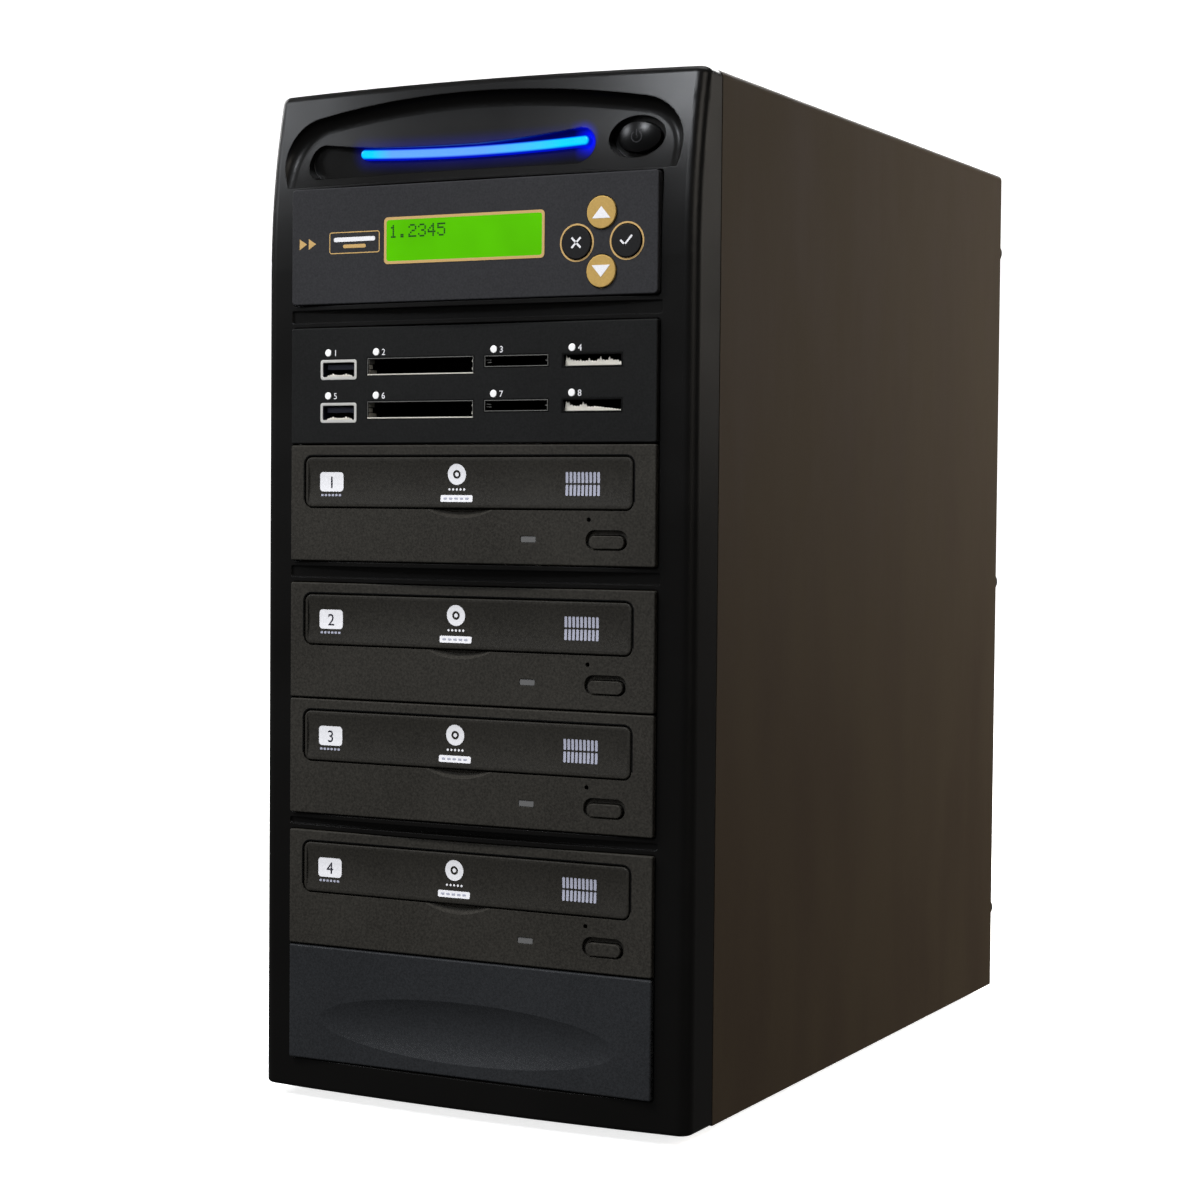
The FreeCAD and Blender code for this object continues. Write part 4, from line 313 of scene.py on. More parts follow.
def slice_rows(mesh, pitch):
    """Cuts flat faces along level lines, so that they can follow a curved surface."""
    heights = [v.co.z for v in mesh.verts]
    count = int((max(heights) - min(heights)) / pitch)
    for i in range(1, count + 1):
        bmesh.ops.bisect_plane(mesh, geom=mesh.verts[:] + mesh.edges[:] + mesh.faces[:],
                               plane_co=(0, 0, min(heights) + i * pitch), plane_no=(0, 0, 1))


class Surface:
    """The front of a CAD node, or with side 1 its back, as seen along Y."""

    def __init__(self, node, side=-1):
        data = frame["nodes"][node].data
        points = [v.co for v in data.vertices]
        self.tree = BVHTree.FromPolygons(points, [p.vertices for p in data.polygons])
        low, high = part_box(node)
        self.side = side
        self.edge = high.y if side > 0 else low.y

    def y(self, x, z):
        start = Vector((x, self.edge + self.side * RAY_GAP, z))
        found = self.tree.ray_cast(start, Vector((0, -self.side, 0)))[0]
        return found.y if found else self.edge


class Flat:
    """A surface at one depth, for prints that span a hole."""

    def __init__(self, depth):
        self.depth = depth

    def y(self, x, z):
        return self.depth


def press_on(mesh, surface, ink, lift):
    """Lays a flat print on the front of a surface, lift above it, and gives it its thickness."""
    for vert in mesh.verts:
        vert.co.y = surface.y(vert.co.x, vert.co.z) + PRINT_SINK - lift
    thicken(mesh, ink + PRINT_SINK)


def printed(name, groups, look, body, surface, ink=INK, pitch=None, lift=0.0):
    """A thin print on a surface. Each group of loops is filled by itself."""
    mesh = bmesh.new()
    for loops in groups:
        fill(mesh, loops, 0.0)
    if pitch:
        slice_rows(mesh, pitch)
        bmesh.ops.remove_doubles(mesh, verts=mesh.verts[:], dist=SHORT_EDGE)
        bmesh.ops.dissolve_degenerate(mesh, dist=SHORT_EDGE, edges=mesh.edges[:])
    press_on(mesh, surface, ink, lift)
    return piece_from(name, mesh, look, body)


def digit_faces(text, x, z, height):
    """Points and faces of plain digits, their left edge at x and their foot at z."""
    curve = bpy.data.curves.new("digits", "FONT")
    curve.body = text
    curve.size = height / DIGIT_SHARE
    holder = bpy.data.objects.new("digits", curve)
    bpy.context.scene.collection.objects.link(holder)
    bpy.context.view_layer.update()
    flat = bpy.data.meshes.new_from_object(holder)
    points = [(v.co.x + x, v.co.y + z) for v in flat.vertices]
    faces = [tuple(p.vertices) for p in flat.polygons]
    bpy.data.objects.remove(holder)
    bpy.data.curves.remove(curve)
    bpy.data.meshes.remove(flat)
    return points, faces


def digits(name, marks, look, body, surface, lift=0.0):
    """Printed digits: each mark is text, left edge, foot and height."""
    mesh = bmesh.new()
    for mark in marks:
        points, faces = digit_faces(*mark)
        corners = [mesh.verts.new((x, 0.0, z)) for x, z in points]
        for face in faces:
            mesh.faces.new([corners[i] for i in face])
    bmesh.ops.remove_doubles(mesh, verts=mesh.verts[:], dist=SAME_POINT)
    press_on(mesh, surface, INK, lift)
    return piece_from(name, mesh, look, body)


def blocks(name, boxes, look, body, edge):
    """Small rectangular bits with eased edges, each given by its x, y and z ranges."""
    mesh = bmesh.new()
    for ranges in boxes:
        for vert in bmesh.ops.create_cube(mesh, size=1.0)["verts"]:
            vert.co = [low + (at + 0.5) * (high - low)
                       for at, (low, high) in zip(vert.co, ranges)]
    bmesh.ops.bevel(mesh, geom=mesh.edges[:], offset=edge, segments=1, affect="EDGES")
    return piece_from(name, mesh, look, body)


# Materials. A Mix node's sockets for colours go by number: share, first, second and result.
MIX_INPUTS = (0, 6, 7)
MIX_RESULT = 2
MOTTLE_RANGE = (0.32, 0.68)
GLOSS_RANGE = (0.35, 0.65)


class Finish:
    """A node material fed by noise in the piece's own space, in metres."""

    def __init__(self, name, colour, roughness, specular=0.5, metal=0.0):
        self.material = bpy.data.materials.new(name)
        self.material.use_nodes = True
        self.tree = self.material.node_tree
        self.shader = self.tree.nodes["Principled BSDF"]
        self.colour = colour
        self.normal = None
        self.place = self.add("ShaderNodeTexCoord").outputs["Object"]
        self.hold("Base Color", (*colour, 1.0))
        self.hold("Roughness", roughness)
        self.hold("Specular IOR Level", specular)
        self.hold("Metallic", metal)

    def add(self, kind, inputs=None, **settings):
        node = self.tree.nodes.new(kind)
        for key, value in settings.items():
            setattr(node, key, value)
        for key, value in (inputs or {}).items():
            if isinstance(value, bpy.types.NodeSocket):
                self.tree.links.new(value, node.inputs[key])
            else:
                node.inputs[key].default_value = value
        return node

    def hold(self, socket, value):
        """Sets a value that is the same all over the surface."""
        self.shader.inputs[socket].default_value = value

    def feed(self, socket, value):
        self.tree.links.new(value, self.shader.inputs[socket])

    def glow(self, colour, strength):
        self.feed("Emission Color", colour)
        self.hold("Emission Strength", strength)

    def noise(self, grain, detail=3.0, stretch=(1, 1, 1)):
        """Noise whose grains are about grain metres wide, longer along an axis by stretch."""
        inputs = {"Vector": self.place, "Scale": [1 / s for s in stretch]}
        place = self.add("ShaderNodeMapping", inputs).outputs["Vector"]
        inputs = {"Vector": place, "Scale": 1 / grain, "Detail": detail}
        return self.add("ShaderNodeTexNoise", inputs).outputs["Fac"]

    def span(self, value, low, high, to_low=0.0, to_high=1.0):
        """Maps a value between low and high to a new range, held at its ends."""
        inputs = {"Value": value, "From Min": low, "From Max": high,
                  "To Min": to_low, "To Max": to_high}
        return self.add("ShaderNodeMapRange", inputs).outputs["Result"]

    def math(self, operation, *values):
        node = self.add("ShaderNodeMath", dict(enumerate(values)), operation=operation)
        return node.outputs["Value"]

    def times(self, first, second):
        return self.math("MULTIPLY", first, second)

    def weigh(self, first, second, share):
        """Adds up two values, the first by its share and the second by the rest."""
        return self.math("ADD", self.times(first, share), self.times(second, 1 - share))

    def within(self, value, low, high):
        """1 where the value is between low and high, and 0 elsewhere."""
        above = self.math("GREATER_THAN", value, low)
        return self.times(above, self.math("LESS_THAN", value, high))

    def ramp(self, value, *stops):
        node = self.add("ShaderNodeValToRGB", {"Fac": value})
        ends = node.color_ramp.elements
        for end, (place, colour) in zip((ends[0], ends[1]), (stops[0], stops[-1])):
            end.position = place
            end.color = (*colour, 1.0)
        for place, colour in stops[1:-1]:
            ends.new(place).color = (*colour, 1.0)
        return node.outputs["Color"]

    def axes(self):
        split = self.add("ShaderNodeSeparateXYZ", {"Vector": self.place})
        return split.outputs["X"], split.outputs["Y"], split.outputs["Z"]

    def blend(self, share, first, second, mode="MIX"):
        """Mixes two colours by a share."""
        colours = [c if isinstance(c, bpy.types.NodeSocket) else (*c, 1.0)
                   for c in (first, second)]
        inputs = dict(zip(MIX_INPUTS, (share, *colours)))
        node = self.add("ShaderNodeMix", inputs, data_type="RGBA", blend_type=mode)
        return node.outputs[MIX_RESULT]

    def mottle(self, value, share):
        """Varies the colour by a share darker and lighter."""
        shades = [[c * change for c in self.colour] for change in (1 - share, 1 + share)]
        self.feed("Base Color", self.ramp(value, *zip(MOTTLE_RANGE, shades)))

    def gloss(self, value, low, high):
        self.feed("Roughness", self.span(value, *GLOSS_RANGE, low, high))

    def bump(self, value, depth):
        """Raises the surface by up to depth metres. Bumps add up."""
        node = self.add("ShaderNodeBump", {"Height": value, "Distance": depth, "Strength": 1.0})
        if self.normal:
            self.tree.links.new(self.normal, node.inputs["Normal"])
        self.normal = node.outputs["Normal"]
        self.feed("Normal", self.normal)

    def soften(self, radius):
        """Rounds hard edges in the shading, as moulded and folded edges are."""
        node = self.add("ShaderNodeBevel", {"Radius": radius}, samples=4)
        self.normal = node.outputs["Normal"]
        self.feed("Normal", self.normal)


def moulded(name, colour, roughness, grain=0.5 * MM, depth=0.02 * MM, mottle=0.12,
            edge=0.3 * MM, shine=0.22):
    """Moulded plastic with a fine eroded texture and slow, faint changes in sheen."""
    look = Finish(name, colour, roughness, specular=shine)
    look.soften(edge)
    fine = look.noise(grain, 2.0)
    broad = look.noise(45 * MM)
    look.bump(fine, depth)
    look.mottle(look.weigh(fine, broad, 0.75), mottle)
    look.gloss(broad, roughness - 0.03, roughness + 0.04)
    return look


def sheet_metal(name, colour, roughness, along=(30, 1, 1), metal=0.9):
    """Plated or rolled sheet: fine lines along one way and faint clouds in the plating."""
    look = Finish(name, colour, roughness, metal=metal)
    look.soften(0.4 * MM)
    lines = look.noise(0.6 * MM, stretch=along)
    cloud = look.noise(14 * MM)
    look.bump(lines, 0.004 * MM)
    look.mottle(look.weigh(lines, cloud, 0.4), 0.06)
    look.gloss(cloud, roughness - 0.02, roughness + 0.03)
    return look


def painted(name, colour, roughness, tint=None):
    """Baked textured paint on sheet steel, its tint, if any, drifting in tall soft clouds."""
    look = Finish(name, colour, roughness, specular=0.18)
    look.soften(0.6 * MM)
    peel = look.noise(0.8 * MM, 2.0)
    cloud = look.noise(26 * MM, 4.0, (1, 1, 3.5))
    look.bump(peel, 0.018 * MM)
    look.bump(look.noise(70 * MM, 2.0), 0.2 * MM)
    if tint:
        warm = look.ramp(cloud, (0.36, colour), (0.64, tint))
        speckle = look.ramp(peel, (0.3, (0.86, 0.86, 0.86)), (0.7, WHITE))
        look.feed("Base Color", look.blend(1.0, warm, speckle, "MULTIPLY"))
    else:
        look.mottle(peel, 0.12)
    look.gloss(cloud, roughness - 0.04, roughness + 0.05)
    return look


def lit(name, colour, strength, roughness):
    """A lit film: its own colour glows, a little unevenly, under a satin skin."""
    look = Finish(name, tuple(0.15 * c for c in colour), roughness, specular=0.1)
    dim, bright = [tuple(c * share for c in colour) for share in (0.90, 1.08)]
    cloud = look.noise(26 * MM, 2.0)
    look.glow(look.ramp(cloud, (GLOSS_RANGE[0], dim), (GLOSS_RANGE[1], bright)), strength)
    look.bump(look.noise(2 * MM, 2.0), 0.01 * MM)
    return look


def ink_finish(name, colour, roughness=0.5):
    """Screen-printed ink, slightly uneven."""
    look = Finish(name, colour, roughness)
    grain = look.noise(0.4 * MM)
    look.mottle(grain, 0.08)
    look.bump(grain, 0.01 * MM)
    return look


bezel_look = moulded("bezel_satin", (0.0026, 0.0024, 0.0022), 0.34, grain=0.6 * MM,
                     depth=0.012 * MM, mottle=0.10, edge=0.5 * MM, shine=0.42)
drive_look = moulded("drive_face", (0.0245, 0.0229, 0.0197), 0.50, grain=0.8 * MM,
                     depth=0.03 * MM, mottle=0.36)
tray_front_look = moulded("tray_front", (0.0195, 0.0182, 0.0155), 0.46, grain=0.8 * MM,
                          depth=0.03 * MM, mottle=0.34, shine=0.34)
panel_look = moulded("panel_film", (0.0245, 0.0245, 0.0268), 0.55, grain=0.7 * MM,
                     depth=0.015 * MM, mottle=0.22)
reader_look = moulded("reader_face", (0.0085, 0.0087, 0.0087), 0.50, grain=0.7 * MM, mottle=0.28)
blank_look = moulded("blank_face", (0.0175, 0.0186, 0.0205), 0.36, grain=0.7 * MM, mottle=0.28,
                     shine=0.5)
tray_look = moulded("tray_plastic", (0.0150, 0.0145, 0.0140), 0.48)
mechanism_look = moulded("mechanism_plastic", (0.0300, 0.0300, 0.0310), 0.45)
key_look = moulded("key_black", (0.0120, 0.0120, 0.0125), 0.50, depth=0.01 * MM, mottle=0.1)
gold_look = moulded("key_gold", (0.43, 0.280, 0.086), 0.48, grain=0.7 * MM, depth=0.008 * MM,
                    mottle=0.08)
button_look = moulded("button_gloss", (0.0022, 0.0022, 0.0024), 0.30, grain=2 * MM,
                      depth=0.003 * MM, mottle=0.1, shine=0.5)
# Black plastic of the card slots; the same dark is also laid as painted shade at the drives'
# mouths and in the screws' cross recesses
slot_black_and_shade_look = moulded("slot_plastic_and_painted_shade", (0.0022, 0.0022, 0.0022), 0.45, mottle=0.1)
fan_look = moulded("fan_plastic", (0.0120, 0.0120, 0.0125), 0.42)
inlet_look = moulded("inlet_plastic", (0.0090, 0.0090, 0.0090), 0.30)
rubber_look = moulded("foot_rubber", (0.0110, 0.0110, 0.0110), 0.75, grain=1.2 * MM,
                      depth=0.05 * MM)
lead_look = moulded("lead_skin", (0.0160, 0.0160, 0.0170), 0.40, grain=3 * MM)
board_look = moulded("board_green", (0.012, 0.075, 0.030), 0.32, grain=4 * MM, mottle=0.3)
# Painted shade: the boards behind the control panel get a near-black green instead of board green,
# so the gaps round the panel read dark
board_shade_look = moulded("board_painted_shade", (0.0050, 0.0075, 0.0060), 0.45, grain=4 * MM,
                            mottle=0.3)
cover_look = painted("cover_paint", (0.0300, 0.0225, 0.0160), 0.56, (0.0335, 0.0260, 0.0178))
drive_steel_look = sheet_metal("drive_steel", (0.56, 0.56, 0.55), 0.36)
chassis_look = sheet_metal("chassis_steel", (0.50, 0.50, 0.49), 0.40)
supply_look = sheet_metal("supply_steel", (0.42, 0.42, 0.42), 0.38)
screw_look = sheet_metal("screw_plating", (0.60, 0.60, 0.58), 0.28, (1, 1, 1))
black_screw_look = painted("screw_black", (0.0120, 0.0120, 0.0120), 0.35)
metal_look = sheet_metal("contact_plating", (0.90, 0.87, 0.78), 0.30, (1, 1, 1), 0.45)
dull_metal_look = sheet_metal("contact_dull", (0.20, 0.20, 0.19), 0.45, (1, 1, 1), 0.45)
white_look = ink_finish("ink_white", (0.74, 0.74, 0.77))
gold_ink_look = ink_finish("ink_gold", (0.50, 0.325, 0.125), 0.4)
lavender_look = ink_finish("ink_lavender", (0.34, 0.35, 0.43))
dark_ink_look = ink_finish("ink_dark", (0.020, 0.020, 0.030))
display_look = lit("display_glow", (0.088, 0.50, 0.0), 0.92, 0.35)
dot_look = ink_finish("display_dots", (0.004, 0.040, 0.004), 0.4)
symbol_look = ink_finish("symbol_grey", (0.030, 0.030, 0.033), 0.35)

# Light bar: its middle line rises towards both ends
bar_low, bar_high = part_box("light_bar")
bar_middle = (bar_low.x + bar_high.x) / 2
bar_half = (bar_high.x - bar_low.x) / 2 - BAR_FLANGE - BAR_HALF_HEIGHT
bar_end_z = bar_high.z - BAR_FLANGE - BAR_HALF_HEIGHT


def from_bar(look):
    """Distance from the bar's middle line, and the place across the front."""
    x, _, z = look.axes()
    off = look.math("SUBTRACT", x, bar_middle)
    along = look.math("DIVIDE", look.math("ABSOLUTE", off), bar_half)
    square = look.math("MINIMUM", look.times(along, along), 1.0)
    sag = look.times(look.math("SUBTRACT", 1.0, square), BAR_BOW)
    rise = look.math("ADD", look.math("SUBTRACT", z, bar_end_z), sag)
    past = look.math("SUBTRACT", look.math("ABSOLUTE", off), bar_half)
    past = look.math("MAXIMUM", past, 0.0)
    squares = look.math("ADD", look.times(past, past), look.times(rise, rise))
    return look.math("SQRT", squares), x


def light_bar_finish():
    """Lit guide: pale blue in the middle, cyan towards its ends, deep blue round its edge."""
    look = Finish("light_bar_glow", (0.0, 0.02, 0.30), 0.25)
    distance, x = from_bar(look)
    cyan, pale = (0.0, 0.62, 1.0), (0.12, 0.37, 1.0)
    place = look.span(x, bar_middle - bar_half, bar_middle + bar_half)
    core = look.ramp(place, *zip(BAR_STOPS, (cyan, pale, pale, cyan)))
    edge = look.span(distance, *BAR_EDGE)
    look.glow(look.blend(edge, core, (0.0, 0.005, 0.50)), 1.1)
    return look


def spill_finish(look):
    """Blue light that the bar throws on the walls round it, most at its right end."""
    distance, x = from_bar(look)
    near = look.span(distance, *SPILL_REACH, 1.0, 0.0)
    end = [bar_middle + bar_half + offset for offset in SPILL_END]
    right = look.span(x, *end, SPILL_REST, 1.0)
    share = look.times(look.times(near, near), right)
    look.glow(look.blend(share, (0.0, 0.0, 0.0), (0.0, 0.006, 0.95)), 1.0)


bar_look = light_bar_finish()
spill_finish(bezel_look)

# Card reader's face, and the places of its sockets
reader_low, reader_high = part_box("card_reader_face")


def socket_place(kind, row):
    """Left, right, bottom and top of a socket's mouth."""
    left, width, height = kind
    top = reader_high.z - ROW_DROPS[row]
    return reader_low.x + left, reader_low.x + left + width, top - height, top


def socket_finish():
    """Bright plated shell of the small sockets; their dark tongue, and painted shade on their
    inner walls.
    """
    metal = 0.5
    look = sheet_metal("socket_plating", (0.80, 0.79, 0.76), 0.30, (1, 1, 1), metal)
    x, y, z = look.axes()
    # The dark reaches USB_SKIN into the walls: the tongue is its own dark plastic, the shell's
    # inner walls get it as painted shade
    inner = USB_WALL - USB_SKIN
    levels = []
    for row in ROWS:
        left, right, bottom, top = socket_place(USB, row)
        levels.append(look.within(z, bottom + inner, top - inner))
    deep = look.math("GREATER_THAN", y, reader_low.y + USB_LIP)
    inside = look.times(look.within(x, left + inner, right - inner), look.math("ADD", *levels))
    inside = look.times(inside, deep)
    shell = look.shader.inputs["Base Color"].links[0].from_socket
    look.feed("Base Color", look.blend(inside, shell, (0.020, 0.022, 0.034)))
    look.feed("Metallic", look.times(look.math("SUBTRACT", 1.0, inside), metal))
    return look


def lamp_finish():
    """White lamps on the reader, grey ones on the drives."""
    look = moulded("lamp_lens", (0.5, 0.5, 0.5), 0.35, grain=0.8 * MM, depth=0.01 * MM,
                   mottle=0.08)
    _, _, z = look.axes()
    reader = look.math("GREATER_THAN", z, reader_low.z)
    look.feed("Base Color", look.blend(reader, (0.115, 0.115, 0.115), (0.82, 0.82, 0.82)))
    return look


SLOT_LOOKS = {
    "drive_steel": drive_steel_look, "chassis_steel": chassis_look, "supply_steel": supply_look,
    "screw_steel": screw_look, "screw_black": black_screw_look, "cover_paint": cover_look,
    "bezel_black": bezel_look, "drive_face_black": drive_look, "panel_charcoal": panel_look,
    "reader_black": reader_look, "blank_black": blank_look, "tray_black": tray_look,
    "mechanism_black": mechanism_look, "light_bar_blue": bar_look,
    "power_button_black": button_look, "display_green": display_look, "key_black": key_look,
    "board_green": board_look, "socket_metal": socket_finish(), "lamp_amber": lamp_finish(),
    "fan_black": fan_look, "inlet_black": inlet_look, "foot_rubber": rubber_look,
    "lead_black": lead_look,
}
NODE_LOOKS = {"key_up": gold_look, "key_down": gold_look, "card_slots": slot_black_and_shade_look,
              "front_boards": board_shade_look, "lcd_module": board_shade_look}
NODE_LOOKS.update({f"drive_{n}_tray_front": tray_front_look for n in DRIVES})


def dress_nodes():
    """Gives every CAD node its finish, by its own name or its material slot."""
    for row in frame["record"]["subparts"]:
        node = frame["nodes"][row["node"]]
        look = NODE_LOOKS.get(row["node"], SLOT_LOOKS[row["material_slot"]])
        if not node.material_slots:
            node.data.materials.append(look.material)
        for slot in node.material_slots:
            slot.material = look.material


dress_nodes()

# Control panel
panel_low, panel_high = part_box("control_panel")
window_x0 = panel_low.x + WINDOW_LEFT
window_x1 = window_x0 + WINDOW_WIDTH
window_z = (panel_low.z + panel_high.z) / 2 + WINDOW_RISE
window_z0 = window_z - WINDOW_HEIGHT / 2
window_z1 = window_z + WINDOW_HEIGHT / 2


def display_window():
    """Printed gold line round the lit window film."""
    face = Flat(panel_low.y)
    line = WINDOW_LINE
    outer = rounded(window_x0, window_x1, window_z0, window_z1, WINDOW_CORNER)
    inner = rounded(window_x0 + line, window_x1 - line, window_z0 + line, window_z1 - line,
                    WINDOW_CORNER - line / 2)
    ring = printed("display_line", [[outer, inner]], gold_ink_look, "root", face, 2 * INK)
    film = printed("display_film", [[inner]], display_look, "root", face)


GLYPHS = {
    "1": ("00100", "01100", "00100", "00100", "00100", "00100", "01110"),
    ".": ("00000", "00000", "00000", "00000", "00000", "01100", "01100"),
    "2": ("01110", "10001", "00001", "00110", "01000", "10000", "11111"),
    "3": ("01110", "10001", "00001", "00110", "00001", "10001", "01110"),
    "4": ("00010", "00110", "01010", "10010", "11111", "00010", "00010"),
    "5": ("11111", "10000", "11110", "00001", "00001", "10001", "01110"),
}


def display_digits():
    """Dark dots that make a row of plain digits."""
    groups = []
    for place, mark in enumerate("1.2345"):
        for row, cells in enumerate(GLYPHS[mark]):
            for column, cell in enumerate(cells):
                if cell == "1":
                    x = window_x0 + TEXT_LEFT + (place * DIGIT_COLUMNS + column) * DOT_PITCH
                    z = window_z1 - TEXT_DROP - row * DOT_PITCH
                    groups.append([[(x, z), (x + DOT_SIZE, z), (x + DOT_SIZE, z - DOT_SIZE),
                                    (x, z - DOT_SIZE)]])
    piece = printed("display_digits", groups, dot_look, "root", Flat(panel_low.y - INK))


def badge():
    """Plain gold outline with a white bar and a gold bar, and two gold wedges beside it."""
    surface = Surface("control_panel")
    x0 = panel_low.x + BADGE_LEFT
    x1 = x0 + BADGE_WIDTH
    z0 = window_z - BADGE_HEIGHT / 2
    z1 = window_z + BADGE_HEIGHT / 2
    line = BADGE_LINE
    inset, thick, wedge = BADGE_HEIGHT / 4, BADGE_HEIGHT / 6, BADGE_HEIGHT / 2
    outline = [rounded(x0, x1, z0, z1, BADGE_CORNER),
               rounded(x0 + line, x1 - line, z0 + line, z1 - line, BADGE_CORNER - line)]
    bar = rounded(x0 + 3 * inset, x1 - 3 * inset, z0 + inset, z0 + inset + thick, 0.48 * thick)
    gold = [outline, [bar]]
    for i in range(2):
        x = panel_low.x + SIGN_LEFT + i * wedge
        tip = (x + 0.8 * wedge, window_z)
        gold.append([[(x, window_z - wedge / 2), tip, (x, window_z + wedge / 2)]])
    piece = printed("badge_gold", gold, gold_ink_look, "root", surface)
    white = rounded(x0 + inset, x1 - inset, z1 - inset - 1.2 * thick, z1 - inset, thick / 2)
    piece = printed("badge_white", [[white]], white_look, "root", surface)


def key_arrow(name, side):
    """White triangle on a gold key, pointing up with side 1 and down with side -1."""
    x, z = middle_of(name)
    foot = z - side * ARROW_RISE
    points = [(x - ARROW_HALF, foot), (x + ARROW_HALF, foot), (x, z + side * ARROW_RISE)]
    piece = printed(name + "_arrow", [[points]], white_look, name + "_body", Surface(name))


def key_sign(name, strokes):
    """Gold ring round a black key, and white strokes on it, given from its middle in arms."""
    x, z = middle_of(name)
    ring = [circle(x, z, radius, 64) for radius in (KEY_RING_OUTER, KEY_RING_INNER)]
    piece = printed(name + "_ring", [ring], gold_ink_look, "root", Flat(panel_low.y))
    loops = [[stroke(x + x0 * KEY_ARM, z + z0 * KEY_ARM, x + x1 * KEY_ARM, z + z1 * KEY_ARM,
                     KEY_LINE)] for x0, z0, x1, z1 in strokes]
    mark = printed(name + "_mark", loops, white_look, name + "_body", Surface(name))


def power_symbol():
    """Broken ring with a stroke, on the domed button."""
    x, z = middle_of("power_button")
    ring = arc_band(x, z, SYMBOL_RADIUS, SYMBOL_LINE, *SYMBOL_ARC)
    foot, tip = [z + share * SYMBOL_RADIUS for share in SYMBOL_STROKE]
    line = stroke(x, foot, x, tip, SYMBOL_LINE)
    piece = printed("power_symbol", [[ring], [line]], symbol_look, "power_button_body",
                    Surface("power_button"), pitch=MARK_PITCH)


display_window()
display_digits()
badge()
key_arrow("key_up", 1)
key_arrow("key_down", -1)
key_sign("key_cancel", ((-1, -1, 1, 1), (-1, 1, 1, -1)))
key_sign("key_confirm", ((-1.3, 0, -0.4, -0.9), (-0.4, -0.9, 1.3, 1)))
power_symbol()


# Card reader
def socket_numbers():
    """A plain number beside each lamp, 1 to 8."""
    marks = []
    for row in ROWS:
        for place, kind in enumerate((USB, LARGE, FLAT, STICK)):
            left, _, _, top = socket_place(kind, row)
            marks.append((str(1 + place + 4 * row), left + LAMP_IN + NUMBER_IN,
                          top + LAMP_UP - NUMBER_HEIGHT / 2, NUMBER_HEIGHT))
    piece = digits("socket_numbers", marks, white_look, "root", Surface("card_reader_face"))


def slot_rims():
    """Thin metal edges round the mouths of the card slots, the wide slots' feet bright."""
    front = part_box("card_slots")[0].y
    y = (front - RIM_PROUD, front + RIM_SUNK)
    bright, dull = [], []
    for row in ROWS:
        for kind, feet, foot in ((LARGE, bright, RIM_FOOT), (FLAT, dull, RIM_SIDE)):
            left, right, bottom, top = socket_place(kind, row)
            across = (left - RIM_SIDE, right + RIM_SIDE)
            upright = (bottom + RIM_GAP, top - RIM_GAP)
            feet.append((across, y, (bottom - foot, bottom)))
            dull.append((across, y, (top, top + RIM_SIDE)))
            dull.append(((left - RIM_SIDE, left), y, upright))
            dull.append(((right, right + RIM_SIDE), y, upright))
    blocks("slot_rims_bright", bright, metal_look, "root", BLOCK_EDGE)
    blocks("slot_rims_dull", dull, dull_metal_look, "root", BLOCK_EDGE)


def slot_contacts():
    """Guides and stops at the ends of the wide slots, leaves and a nub in the flat slots."""
    front = reader_low.y
    bright, dull = [], []
    stop, leaf = [[front + depth for depth in depths] for depths in (STOP_DEPTH, LEAF_DEPTH)]
    for row in ROWS:
        left, right, bottom, top = socket_place(LARGE, row)
        third = (top - bottom) / 3
        for step, depth in enumerate(GUIDE_DEPTHS):
            z = bottom + step * third
            bright.append(((left, left + TAB), (front + GUIDE_FRONT, front + depth),
                           (z + TAB, z + third - TAB)))
        for z in (bottom + third / 2, top - third):
            bright.append(((right - STOP_WIDTH, right), stop, (z, z + third / 2)))
        left, right, bottom, top = socket_place(FLAT, row)
        middle = (bottom + top) / 2
        for z in [middle + height for height in LEAF_HEIGHTS]:
            dull.append(((left + TAB, left + LEAF_WIDTH), leaf, (z, z + LEAF_THICK)))
        dull.append(((right - NUB_WIDTH, right - TAB), leaf,
                     (middle - NUB_HALF, middle + NUB_HALF)))
    blocks("slot_tabs_bright", bright, metal_look, "root", FINE_EDGE)
    blocks("slot_tabs_dull", dull, dull_metal_look, "root", FINE_EDGE)


def comb(name, place, heights, depth):
    """A plate of spring contacts that stands on a socket's floor, its top cut into teeth."""
    left, right, bottom, top = place
    pitch = (right - left) / len(heights)
    points = [(left, bottom)]
    for i, share in enumerate(heights):
        points.append((left + (i + 0.5) * pitch, bottom + share * (top - bottom)))
        if i + 1 < len(heights):
            valley = min(share, heights[i + 1]) * COMB_VALLEY
            points.append((left + (i + 1) * pitch, bottom + valley * (top - bottom)))
    points.append((right, bottom))
    mesh = bmesh.new()
    fill(mesh, [points], reader_low.y + depth)
    thicken(mesh, COMB_THICK)
    piece_from(name, mesh, metal_look, "root")


def combs(row):
    """Spring contacts of a row's card socket and of its small socket."""
    left, right, bottom, top = socket_place(STICK, row)
    place = (left + STICK_INSET, right - STICK_INSET, bottom + STICK_RISE, top)
    comb(f"stick_contacts_{row + 1}", place, STICK_TEETH[row], STICK_DEPTH)
    left, right, bottom, _ = socket_place(USB, row)
    floor = bottom + USB_WALL
    place = (left + USB_INSET, right - USB_INSET, floor, floor + USB_INSET)
    comb(f"usb_tabs_{row + 1}", place, USB_TABS, TABS_DEPTH)


socket_numbers()
slot_rims()
slot_contacts()
for row in ROWS:
    combs(row)


# Trays
def row_of_boxes(count, x0, pitch, width, z0, z1, corner):
    """Outlines of a row of small rounded boxes, each a group by itself."""
    return [[rounded(x0 + i * pitch, x0 + i * pitch + width, z0, z1, corner, 2)]
            for i in range(count)]


